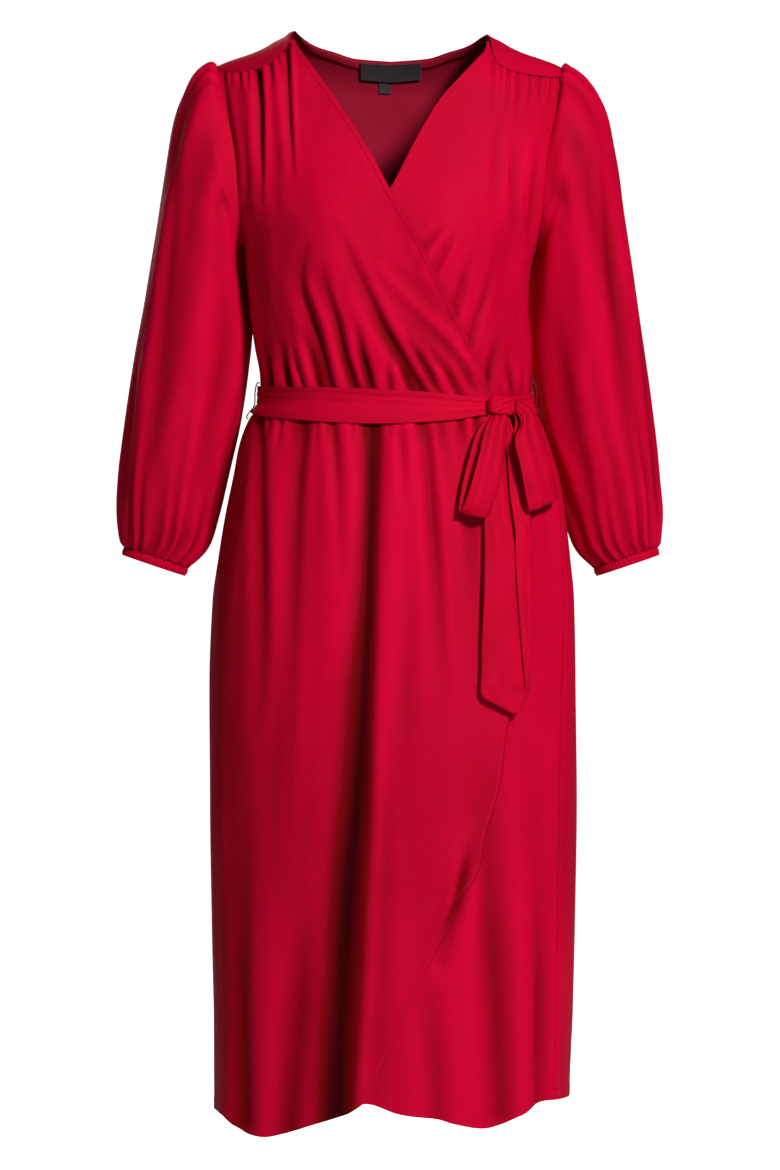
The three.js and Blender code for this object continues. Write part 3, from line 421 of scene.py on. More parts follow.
@dataclass
class ClothGrid:
    """Mid-surface of a piece of cloth: rows down, columns round, both shares of the cut."""

    points: Array
    closed: bool = False

    def normals(self) -> Array:
        """Return the outward direction at each point."""
        p = self.points
        if self.closed:
            along = np.roll(p, -1, axis=1) - np.roll(p, 1, axis=1)
        else:
            along = np.gradient(p, axis=1)
        return unit(np.cross(np.gradient(p, axis=0), along))

    def moved(self, distance: Array | float) -> ClothGrid:
        """Return the grid moved outwards by a distance, one number or one a point."""
        step = np.broadcast_to(distance, self.points.shape[:2])[..., None]
        return ClothGrid(self.points + self.normals() * step, self.closed)

    def across_rows(self) -> Array:
        """Return the length along each row from its first column."""
        step = np.linalg.norm(np.diff(self.points, axis=1), axis=-1)
        return np.concatenate([np.zeros((len(step), 1)), np.cumsum(step, axis=1)], axis=1)

    def down_columns(self) -> Array:
        """Return the length down each column from its first row."""
        step = np.linalg.norm(np.diff(self.points, axis=0), axis=-1)
        return np.concatenate([np.zeros((1, step.shape[1])), np.cumsum(step, axis=0)], axis=0)

    def cut(self, allowance: float = 10.0) -> tuple[float, float]:
        """Return the rectangle that the cloth is cut from, in metres.

        Args:
            allowance: cloth for seams and hems, added once in each direction.

        Returns:
            Its width and length, along the cloth as it lies in its folds.
        """
        width, length = self.across_rows()[:, -1].max(), self.down_columns()[-1].max()
        return (float(width + allowance) * MM, float(length + allowance) * MM)

    def line_beside(self, from_end: bool, inset: float, out: float) -> Array:
        """Return a line down the cloth at a distance from a side edge.

        Args:
            from_end: whether the edge is the last column.
            inset: distance from the edge.
            out: lift above the mid-surface.

        Returns:
            One point a row.
        """
        return self.read(self.moved(out).points, self.across_rows(), from_end, inset)

    def line_above(self, from_end: bool, inset: float, out: float) -> Array:
        """Return a line across the cloth at a distance from its first or last row.

        Args:
            from_end: whether the edge is the last row.
            inset: distance from the edge.
            out: lift above the mid-surface.

        Returns:
            One point a column.
        """
        lifted = self.moved(out).points.swapaxes(0, 1)
        line = self.read(lifted, self.down_columns().T, from_end, inset)
        return np.concatenate([line, line[:1]]) if self.closed else line

    @staticmethod
    def read(lines: Array, runs: Array, from_end: bool, inset: float) -> Array:
        """Return one point of each line, at a distance from its start or its end."""
        wanted = runs[:, -1] - inset if from_end else np.full(len(runs), inset)
        return np.array([[np.interp(w, run, line[:, k]) for k in range(3)]
                         for w, run, line in zip(wanted, runs, lines)])


def grid_index(rows: int, columns: int, closed: bool) -> Array:
    """Return the point numbers of a grid, with the first column again at the end of a closed one."""
    index = np.arange(rows * columns).reshape(rows, columns)
    return np.concatenate([index, index[:, :1]], axis=1) if closed else index


def quads(index: Array) -> Array:
    """Return the four corners of each cell of a grid of point numbers."""
    corners = [index[:-1, :-1], index[:-1, 1:], index[1:, 1:], index[1:, :-1]]
    return np.stack(corners, -1).reshape(-1, 4)


def rim(outer: Array, inner: Array, flipped: bool) -> Array:
    """Return the faces between an edge of the outer layer and the same edge of the inner one."""
    found = quads(np.stack([outer, inner]))
    return found[:, [1, 0, 3, 2]] if flipped else found


def placed(name: str, data: bpy.types.ID) -> bpy.types.Object:
    """Put a mesh, a light or a camera into the scene as an object."""
    piece = bpy.data.objects.new(name, data)
    bpy.context.collection.objects.link(piece)
    return piece


def keep_number(mesh: bpy.types.Mesh, name: str, values: Array) -> None:
    """Keep one number for each point of a mesh."""
    mesh.attributes.new(name, "FLOAT", "POINT").data.foreach_set("value", values.astype(np.float32))


def lay_plane(mesh: bpy.types.Mesh, plane: Array, corners: Array) -> None:
    """Lay the cloth plane on a mesh.

    Args:
        mesh: the mesh.
        plane: place of each point on the plane.
        corners: point of each face corner.
    """
    uv = mesh.uv_layers.new(name="cloth")
    uv.data.foreach_set("uv", plane[corners].astype(np.float32).ravel())


def cloth_mesh(name: str, grid: ClothGrid, wall: float, hollow: Array | None = None) -> bpy.types.Object:
    """Make a thin closed shell on a grid, with a woven direction and a fold depth that the finish paints as
    shade.

    Args:
        name: name of the object.
        grid: the mid-surface in millimetres.
        wall: thickness.
        hollow: fold height at each point, with any painted shade, kept as the attribute fold that darkens the
            finish.

    Returns:
        The new object, in metres.
    """
    rows, columns = grid.points.shape[:2]
    layers = np.concatenate([grid.moved(wall / 2).points, grid.moved(-wall / 2).points])
    verts = layers.reshape(-1, 3) * MM
    outer = grid_index(rows, columns, grid.closed)
    inner = outer + rows * columns
    faces = [quads(outer)[:, [0, 3, 2, 1]], quads(inner),
             rim(outer[0], inner[0], False), rim(outer[-1], inner[-1], True)]
    if not grid.closed:
        faces += [rim(outer[:, 0], inner[:, 0], True), rim(outer[:, -1], inner[:, -1], False)]
    cells = np.concatenate(faces).astype(np.int32)
    mesh = bpy.data.meshes.new(name)
    mesh.vertices.add(len(verts))
    mesh.vertices.foreach_set("co", verts.astype(np.float32).ravel())
    mesh.loops.add(cells.size)
    mesh.loops.foreach_set("vertex_index", cells.ravel())
    mesh.polygons.add(len(cells))
    mesh.polygons.foreach_set("loop_start", np.arange(0, cells.size, 4, dtype=np.int32))
    mesh.polygons.foreach_set("use_smooth", np.ones(len(cells), dtype=bool))
    mesh.update(calc_edges=True)
    width, height = grid.across_rows(), grid.down_columns()
    if not grid.closed:
        width = width - width[:, columns // 2:columns // 2 + 1]
    plane = np.stack([width, -height], -1).reshape(-1, 2) * MM
    lay_plane(mesh, np.concatenate([plane, plane]), cells.ravel())
    # The fold attribute carries painted shade: the finish darkens the cloth in troughs by it.
    depth = np.zeros(rows * columns) if hollow is None else hollow.ravel()
    keep_number(mesh, "fold", np.concatenate([depth, depth]))
    keep_number(mesh, "inside", np.repeat([0.0, 1.0], rows * columns))
    mesh.validate()
    return placed(name, mesh)


def ring_mesh(name: str, points: Array, round_ends: bool) -> bpy.types.Object:
    """Make a closed piece from rings of points, every face turned outwards.

    Args:
        name: name of the object.
        points: rings in millimetres.
        round_ends: whether the rings close up at both ends, as on the knot.

    Returns:
        The new object, in metres.
    """
    rows, columns = points.shape[:2]
    index = grid_index(rows, columns, True)
    turn = -1 if round_ends else 1
    ends = [index[0, :-1][::turn].tolist(), index[-1, :-1][::-turn].tolist()]
    mesh = bpy.data.meshes.new(name)
    mesh.from_pydata((points.reshape(-1, 3) * MM).tolist(), [], quads(index).tolist() + ends)
    for polygon in mesh.polygons:
        polygon.use_smooth = round_ends or len(polygon.vertices) == 4
    work = bmesh.new()
    work.from_mesh(mesh)
    bmesh.ops.recalc_face_normals(work, faces=work.faces)
    work.to_mesh(mesh)
    work.free()
    return placed(name, mesh)


def arithmetic(operation: str, reflected: bool = False) -> Callable[[Socket, Socket | float], Socket]:
    """Return a method that adds one Math node.

    Args:
        operation: name of the operation.
        reflected: whether the other value comes first.

    Returns:
        The method.
    """
    def method(self: Socket, other: Socket | float) -> Socket:
        """Return the result of the operation."""
        return self.math(operation, *((other, self) if reflected else (self, other)))

    return method


class Socket:
    """A shader value whose arithmetic adds Math nodes."""

    __add__, __radd__ = arithmetic("ADD"), arithmetic("ADD", True)
    __sub__, __rsub__ = arithmetic("SUBTRACT"), arithmetic("SUBTRACT", True)
    __mul__, __rmul__ = arithmetic("MULTIPLY"), arithmetic("MULTIPLY", True)
    __truediv__, __rtruediv__ = arithmetic("DIVIDE"), arithmetic("DIVIDE", True)

    def __init__(self, shader: Shader, link: bpy.types.NodeSocket) -> None:
        """Wrap an output socket of the shader's tree."""
        self.shader, self.link = shader, link

    def math(self, operation: str, first: Socket | float, second: Socket | float) -> Socket:
        """Add one Math node.

        Args:
            operation: name of the operation.
            first: first value.
            second: second value.

        Returns:
            The result.
        """
        return self.shader.node("ShaderNodeMath", {"operation": operation}, {0: first, 1: second})

    def clamped(self, low: float = 0.0, high: float = 1.0) -> Socket:
        """Return the value held between two limits."""
        return self.math("MINIMUM", self.math("MAXIMUM", self, low), high)


class Shader:
    """A material's node tree, built up by values and expressions."""

    def __init__(self, name: str) -> None:
        """Start an empty tree.

        Args:
            name: name of the material.
        """
        self.material = bpy.data.materials.new(name)
        self.material.use_nodes = True
        self.tree = self.material.node_tree
        self.tree.nodes.clear()

    def node(self, kind: str, settings: dict[str, object] | None = None,
             inputs: dict[int | str, object] | None = None, output: int | str = 0) -> Socket:
        """Add any node.

        Args:
            kind: the node's type name.
            settings: properties, set before the inputs.
            inputs: values or sockets by input name or number.
            output: which output to give back.

        Returns:
            The wanted output.
        """
        made = self.tree.nodes.new(kind)
        for key, value in (settings or {}).items():
            setattr(made, key, value)
        for key, value in (inputs or {}).items():
            if isinstance(value, Socket):
                self.tree.links.new(value.link, made.inputs[key])
            else:
                made.inputs[key].default_value = value
        return Socket(self, made.outputs[output])

    def attribute(self, name: str) -> Socket:
        """Return a number kept on the mesh."""
        return self.node("ShaderNodeAttribute", {"attribute_name": name}, output="Fac")

    def blend(self, share: Socket | float, first: Socket | Colour, second: Socket | Colour) -> Socket:
        """Mix two colours.

        Args:
            share: share of the second colour.
            first: first colour or socket.
            second: second colour or socket.

        Returns:
            The mixed colour.
        """
        start, end = (c if isinstance(c, Socket) else (*c, 1.0) for c in (first, second))
        return self.node("ShaderNodeMix", {"data_type": "RGBA"}, {0: share, 6: start, 7: end}, 2)

    def noise(self, vector: Socket, scale: float, detail: float = 2.0, rough: float = 0.5) -> Socket:
        """Return noise at a scale over a vector."""
        values = {"Vector": vector, "Scale": scale, "Detail": detail, "Roughness": rough}
        return self.node("ShaderNodeTexNoise", None, values, "Fac")

    def wave(self, vector: Socket, direction: str, scale: float, distortion: float) -> Socket:
        """Return bands that run across a direction."""
        values = {"Vector": vector, "Scale": scale, "Distortion": distortion}
        return self.node("ShaderNodeTexWave", {"bands_direction": direction}, values, "Fac")

    def bump(self, strength: float, distance: float, height: Socket) -> Socket:
        """Return a normal that follows a height."""
        values = {"Strength": strength, "Distance": distance, "Height": height}
        return self.node("ShaderNodeBump", None, values, "Normal")

    def finish(self, surface: dict[str, object]) -> bpy.types.Material:
        """Close the tree with one surface shader.

        Args:
            surface: inputs of the surface by name.

        Returns:
            The material.
        """
        bsdf = self.node("ShaderNodeBsdfPrincipled", None, surface, "BSDF")
        out = self.tree.nodes.new("ShaderNodeOutputMaterial")
        self.tree.links.new(bsdf.link, out.inputs["Surface"])
        return self.material


@dataclass(frozen=True)
class CrepeFinish:
    """Matt crinkled crepe with a faint sheen, painted shade deeper in its troughs, and a darker wrong side.
    """

    name: str = "crepe"
    # lit and deep are a lit and a shaded copy of the crepe's colour, mixed as painted shade; deep also
    # colours the random grain flecks.
    lit: Colour = (0.66, 0.0006, 0.036)
    deep: Colour = (0.22, 0.0005, 0.004)
    # Near black, a painted shadow in the deepest folds.
    painted_shadow: Colour = (0.03, 0.0002, 0.001)
    inside: Colour = (0.25, 0.010, 0.031)
    grain_scale: float = 1500.0
    crinkle_scale: float = 420.0
    bump: float = 0.32
    rough: float = 0.62
    sheen: float = 0.02

    def build(self) -> bpy.types.Material:
        """Return the material."""
        s = Shader(self.name)
        place = s.node("ShaderNodeTexCoord", output="Object")
        cloth = s.node("ShaderNodeUVMap", {"uv_map": "cloth"})
        pulled = s.node("ShaderNodeMapping", None, {"Vector": cloth, "Scale": (1.0, 0.38, 1.0)})
        grain = s.noise(cloth, self.grain_scale, 3.0, 0.65)
        crinkle = s.noise(pulled, self.crinkle_scale, 4.0, 0.6)
        cloud = s.noise(place, 9.0, 3.0, 0.55)
        weft = s.wave(cloth, "Y", 700.0, 2.5)
        fold = s.attribute("fold")
        wrong_side = s.attribute("inside")
        # Painted shade: the fold attribute darkens the tone towards deep in troughs and lightens it on
        # crests, with random cloud and crinkle tone mixed in.
        lit = (fold * 0.12 + 0.78 + (cloud - 0.5) * 0.35 + (crinkle - 0.5) * 0.35).clamped()
        tone = s.blend(lit, self.deep, self.lit)
        # Painted shadow: folds deeper than about 6 mm turn towards near black.
        tone = s.blend((fold * -0.11 - 0.66).clamped(), tone, self.painted_shadow)
        fleck = ((grain - 0.5) * 0.8 + 0.5).clamped()
        tone = s.blend(fleck * 0.16, tone, self.deep)
        tone = s.blend(wrong_side * 0.75, tone, self.inside)
        relief = grain * 0.5 + crinkle * 1.0 + weft * 0.18
        bump = s.bump(self.bump, 0.0006, relief)
        rough = (self.rough + (crinkle - 0.5) * 0.22 + (grain - 0.5) * 0.1).clamped()
        return s.finish({
            "Base Color": tone, "Roughness": rough, "Normal": bump, "Sheen Weight": self.sheen,
            "Sheen Roughness": 0.4, "Sheen Tint": (1.0, 0.02, 0.10, 1.0),
            "Specular IOR Level": 0.03,
        })


@dataclass(frozen=True)
class LabelFinish:
    """Smooth black woven tape, bare, with a fine weft and a paler worn edge."""

    name: str = "label_tape"
    face: Colour = (0.016, 0.012, 0.014)
    worn: Colour = (0.075, 0.058, 0.064)

    def build(self) -> bpy.types.Material:
        """Return the material."""
        s = Shader(self.name)
        cloth = s.node("ShaderNodeUVMap", {"uv_map": "cloth"})
        weft = s.wave(cloth, "Y", 900.0, 0.6)
        warp = s.wave(cloth, "X", 700.0, 0.4)
        cloud = s.noise(cloth, 60.0, 3.0)
        tone = s.blend((weft * 0.35 + cloud * 0.4).clamped(), self.face, self.worn)
        bump = s.bump(0.3, 0.0002, weft * 0.6 + warp * 0.4)
        return s.finish({"Base Color": tone, "Roughness": (0.42 + cloud * 0.2).clamped(),
                         "Normal": bump, "Sheen Weight": 0.15})


@dataclass(frozen=True)
class ThreadFinish:
    """Sewing thread, a plied strand with a soft gloss."""

    name: str = "thread"
    tone: Colour = (0.34, 0.001, 0.014)
    dark: Colour = (0.16, 0.001, 0.006)

    def build(self) -> bpy.types.Material:
        """Return the material."""
        s = Shader(self.name)
        place = s.node("ShaderNodeTexCoord", output="Object")
        ply = s.wave(place, "DIAGONAL", 900.0, 1.0)
        tone = s.blend(ply, self.dark, self.tone)
        bump = s.bump(0.4, 0.0001, ply)
        return s.finish({"Base Color": tone, "Roughness": 0.6, "Normal": bump,
                         "Specular IOR Level": 0.1})


@dataclass(frozen=True)
class PaperFinish:
    """Pale seamless studio paper."""

    name: str = "studio_paper"
    tone: Colour = (0.70, 0.70, 0.70)
    glow: float = 0.95
    glow_least: float = 0.0
    glow_from: float = 0.5
    glow_full: float = 1.3

    def build(self) -> bpy.types.Material:
        """Return the material."""
        s = Shader(self.name)
        place = s.node("ShaderNodeTexCoord", output="Object")
        tooth = s.noise(place, 300.0, 2.0)
        bump = s.bump(0.05, 0.0005, tooth)
        depth = s.node("ShaderNodeSeparateXYZ", None, {"Vector": place}, "Y")
        behind = ((depth - self.glow_from) / (self.glow_full - self.glow_from)).clamped()
        glow = s.blend(behind, (self.glow_least,) * 3, (1.0, 1.0, 1.0))
        return s.finish({"Base Color": (*self.tone, 1.0), "Roughness": 0.9, "Normal": bump,
                         "Emission Color": glow, "Emission Strength": self.glow})


def built(finish: CrepeFinish | LabelFinish | ThreadFinish | PaperFinish) -> bpy.types.Material:
    """Return a dataclass field that builds the finish once the wardrobe is made."""
    return field(default_factory=finish.build)


@dataclass
class Wardrobe:
    """The finishes of the dress, one material each."""

    # Each crepe's lit and deep tones are a lit and a shaded copy of its colour, mixed as painted shade.
    crepe: bpy.types.Material = built(CrepeFinish())
    tie: bpy.types.Material = built(CrepeFinish(
        name="tie_crepe", lit=(0.64, 0.0006, 0.030), deep=(0.20, 0.0005, 0.005),
        inside=(0.52, 0.002, 0.024)))
    tape: bpy.types.Material = built(CrepeFinish(
        name="neck_tape", lit=(0.60, 0.012, 0.045), deep=(0.40, 0.006, 0.025),
        inside=(0.58, 0.02, 0.055), crinkle_scale=600.0))
    label: bpy.types.Material = built(LabelFinish())
    thread: bpy.types.Material = built(ThreadFinish())
    paper: bpy.types.Material = built(PaperFinish())
    far_paper: bpy.types.Material = built(PaperFinish(
        name="studio_far_paper", glow=1.0, glow_least=0.72))


@dataclass
class StitchMaker:
    """Rows of stitches that follow lines on the cloth."""

    material: bpy.types.Material
    spacing: float = 3.0
    length: float = 2.1
    radius: float = 0.18

    def tree(self) -> bpy.types.NodeTree:
        """Return the node tree that sets one stitch at every step of a line."""
        tree = bpy.data.node_groups.new("stitch_row", "GeometryNodeTree")
        face = tree.interface
        face.new_socket("Geometry", in_out="INPUT", socket_type="NodeSocketGeometry")
        for name in ("Spacing", "Length", "Radius"):
            face.new_socket(name, in_out="INPUT", socket_type="NodeSocketFloat")
        face.new_socket("Thread", in_out="INPUT", socket_type="NodeSocketMaterial")
        face.new_socket("Geometry", in_out="OUTPUT", socket_type="NodeSocketGeometry")
        kinds = {
            "start": "NodeGroupInput", "end": "NodeGroupOutput", "curve": "GeometryNodeMeshToCurve",
            "steps": "GeometryNodeResampleCurve", "bead": "GeometryNodeMeshUVSphere",
            "tangent": "GeometryNodeInputTangent", "turn": "FunctionNodeAlignRotationToVector",
            "size": "ShaderNodeCombineXYZ", "place": "GeometryNodeInstanceOnPoints",
            "real": "GeometryNodeRealizeInstances", "dress": "GeometryNodeSetMaterial",
        }
        nodes = {key: tree.nodes.new(kind) for key, kind in kinds.items()}
        nodes["steps"].mode, nodes["turn"].axis = "LENGTH", "X"
        for key, value in (("Segments", 6), ("Rings", 4), ("Radius", 0.5)):
            nodes["bead"].inputs[key].default_value = value
        for source, given, target, taken in (
                ("start", "Geometry", "curve", "Mesh"), ("curve", "Curve", "steps", "Curve"),
                ("start", "Spacing", "steps", "Length"), ("steps", "Curve", "place", "Points"),
                ("bead", "Mesh", "place", "Instance"), ("tangent", "Tangent", "turn", "Vector"),
                ("turn", "Rotation", "place", "Rotation"), ("start", "Length", "size", "X"),
                ("start", "Radius", "size", "Y"), ("start", "Radius", "size", "Z"),
                ("size", "Vector", "place", "Scale"), ("place", "Instances", "real", "Geometry"),
                ("real", "Geometry", "dress", "Geometry"), ("start", "Thread", "dress", "Material"),
                ("dress", "Geometry", "end", "Geometry")):
            tree.links.new(nodes[source].outputs[given], nodes[target].inputs[taken])
        return tree

    def sew(self, name: str, lines: Sequence[Array]) -> bpy.types.Object:
        """Sew rows of stitches along lines.

        Args:
            name: name of the piece.
            lines: lines in millimetres, already lifted onto the face of the cloth.

        Returns:
            One plain mesh that holds every stitch.
        """
        points, edges = [], []
        for line in lines:
            first = len(points)
            points.extend((np.asarray(line) * MM).tolist())
            edges.extend((first + i, first + i + 1) for i in range(len(line) - 1))
        guide = bpy.data.meshes.new(name + "_guide")
        guide.from_pydata(points, edges, [])
        holder = placed(name + "_guide", guide)
        modifier = holder.modifiers.new("stitches", "NODES")
        tree = bpy.data.node_groups.get("stitch_row") or self.tree()
        modifier.node_group = tree
        sizes = {"Spacing": self.spacing * MM, "Length": self.length * MM,
                 "Radius": 2 * self.radius * MM, "Thread": self.material}
        for item in tree.interface.items_tree:
            if item.in_out == "INPUT" and item.name in sizes:
                modifier[item.identifier] = sizes[item.name]
        holder.update_tag()
        shown = holder.evaluated_get(bpy.context.evaluated_depsgraph_get())
        mesh = bpy.data.meshes.new_from_object(shown)
        holder.modifiers.remove(modifier)
        bpy.data.objects.remove(holder)
        mesh.name = name
        if not mesh.materials:
            mesh.materials.append(self.material)
        return placed(name, mesh)


@dataclass
class Dressing:
    """Shared hand-over of pieces to the frame."""

    wardrobe: Wardrobe
    stitches: StitchMaker

    def finish(self, piece: bpy.types.Object, material: bpy.types.Material) -> None:
        """Give a piece its one finish, and let it ride on the dress."""
        piece.data.materials.clear()
        piece.data.materials.append(material)
        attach(piece, "root")

    def cloth(self, piece: bpy.types.Object, nodes: Sequence[str], slot: str,
              material: bpy.types.Material, grid: ClothGrid, hold: Hold, rests_on: Sequence[str],
              with_pieces: Sequence[bpy.types.Object] = ()) -> None:
        """Give a sheet of cloth that stands for one solid or for a parted one its finish, and hide those
        solids.

        Args:
            piece: the cloth.
            nodes: the solids that it replaces.
            slot: not used.
            material: its finish.
            grid: not used.
            hold: not used.
            rests_on: not used.
            with_pieces: not used.
        """
        self.finish(piece, material)
        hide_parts(*nodes)

    def trim(self, piece: bpy.types.Object, material: bpy.types.Material,
             node: str | None = None) -> None:
        """Give a small piece its finish, hide the solid that it replaces, and log its face count.

        Args:
            piece: the piece.
            material: its finish.
            node: the solid that it replaces, if any.
        """
        self.finish(piece, material)
        if node:
            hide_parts(node)
        LOG.info("%s: %d faces", piece.name, len(piece.data.polygons))


def turned_hem(distance: Array, width: float = EDGE_TURN, lift: float = 0.45) -> Array:
    """Return the height of a narrow turned hem and its stitched groove.

    Args:
        distance: distance from the edge.
        width: width of the hem.
        lift: extra thickness of the turned cloth.

    Returns:
        Height at each distance.
    """
    step = lift * (1.0 - ease(width, width + 1.6, distance))
    return step - 0.5 * bell(distance - width, 0.9)


@dataclass
class FrontPanel:
    """A front panel between a side and a wrap edge, from a seam to a seam or hem."""

    figure: Figure
    side: Side
    wrap_edge: Table
    side_ends: tuple[float, float]
    edge_ends: tuple[float, float]
    top_curve: Callable[[Array], Array] | None = None
    bottom_curve: Callable[[Array], Array] | None = None
    columns: int = 150
    rows: int = 150
    edge_share: float = 0.04
    hem_share: float = 0.0

    def grid(self) -> ClothGrid:
        """Return the plain panel on the form, columns rising with x."""
        down = spaced(self.rows, 0.0, self.hem_share)[:, None]
        right_edge = self.side is Side.RIGHT
        u = spaced(self.columns, 0.0 if right_edge else self.edge_share,
                   self.edge_share if right_edge else 0.0)[None, :]
        side_drop = mix(self.side_ends[0], self.side_ends[1], down)
        edge_drop = mix(self.edge_ends[0], self.edge_ends[1], down)
        side_x = self.figure.side_edge(self.side, False, side_drop)
        edge_x = self.wrap_edge(edge_drop)
        ends = [(side_drop, side_x), (edge_drop, edge_x)]
        (from_drop, from_x), (to_drop, to_x) = ends if right_edge else ends[::-1]
        angle = mix(self.figure.angle_of(from_x, from_drop), self.figure.angle_of(to_x, to_drop), u)
        plain = mix(from_drop, to_drop, u)
        drop = plain
        for _ in range(4):
            x = self.figure.across_of(angle, drop)
            drop = plain + 0.0
            if self.top_curve:
                drop = drop + (self.top_curve(x) - plain[:1]) * (1.0 - down) ** 3
            if self.bottom_curve:
                drop = drop + (self.bottom_curve(x) - plain[-1:]) * down**3
        return ClothGrid(self.figure.skin(self.figure.across_of(angle, drop), drop, False))


def held_in(figure: Figure, points: Array, height: Array) -> Array:
    """Return fold heights held in by the belt and the side seams.

    Args:
        figure: the form.
        points: points on it.
        height: free fold heights in millimetres.

    Returns:
        The heights, with their crests kept under the belt.
    """
    drop = -points[..., 2]
    away = np.abs(drop - WAIST_DROP)
    waist = mix(0.8, 1.0, ease(6.0, 20.0, away))
    from_side = math.pi / 2 - np.abs(figure.angle_of(points[..., 0], drop))
    side = np.where(drop > UNDERARM_DROP, ease(0.0, math.radians(12), from_side), 1.0)
    held = height * waist * side
    free = np.where(drop < WAIST_DROP, ease(16.0, 32.0, away), ease(22.0, 40.0, away))
    cap = 1.9 + 7.0 * free
    return np.where(held > 0, cap * np.tanh(held / cap), held)


def gathered_shade(height: Array, drop: Array, reach: float) -> Array:
    """Return painted shade for the finish: fold heights deepened, and the cloth darker, where the belt
    gathers it.

    Args:
        height: fold heights in millimetres.
        drop: depths below the shoulders.
        reach: how far from the waist the gathers still crowd.

    Returns:
        Heights in millimetres.
    """
    # Painted shade: deeper folds and an even darkening near the waist.
    near = 1.0 - ease(0.25 * reach, reach, np.abs(drop - WAIST_DROP))
    return height * (1.0 + 1.1 * near) - 1.7 * near


def under_inset(figure: Figure, edge: Table, points: Array) -> Array:
    """Return how far an under layer lies inside the outer one.

    Args:
        figure: the form.
        edge: wrap edge of the layer on top.
        points: points of the under layer.

    Returns:
        Distances in millimetres.
    """
    x, drop = points[..., 0], -points[..., 2]
    covered = ease(0.0, 40.0, edge(drop) - x)
    angle = np.abs(figure.angle_of(x, drop))
    at_side = np.where(x > 0, 1.0 - ease(math.radians(56), math.radians(80), angle), 1.0)
    at_yoke = ease(10.0, 90.0, drop - figure.yoke_drop(x))
    return (3.2 + 2.2 * covered) * at_side * at_yoke


def ripples(figure: Figure, points: Array, seed: int, layers: Sequence[Row], near: Array) -> Array:
    """Return small uneven ripples of the drape.

    Args:
        figure: the form.
        points: points on it.
        seed: number that fixes the pattern.
        layers: cell round the form, cell down it and size of each layer of noise.
        near: share of the last layer at each point.

    Returns:
        Heights in millimetres.
    """
    drop = -points[..., 2]
    around = figure.angle_of(points[..., 0], drop) * NOISE_RADIUS
    slow, quick, crowd = (
        soft_noise(around / across + NOISE_START, drop / down, seed + number) * size
        for number, (across, down, size) in enumerate(layers))
    return slow + quick + crowd * near


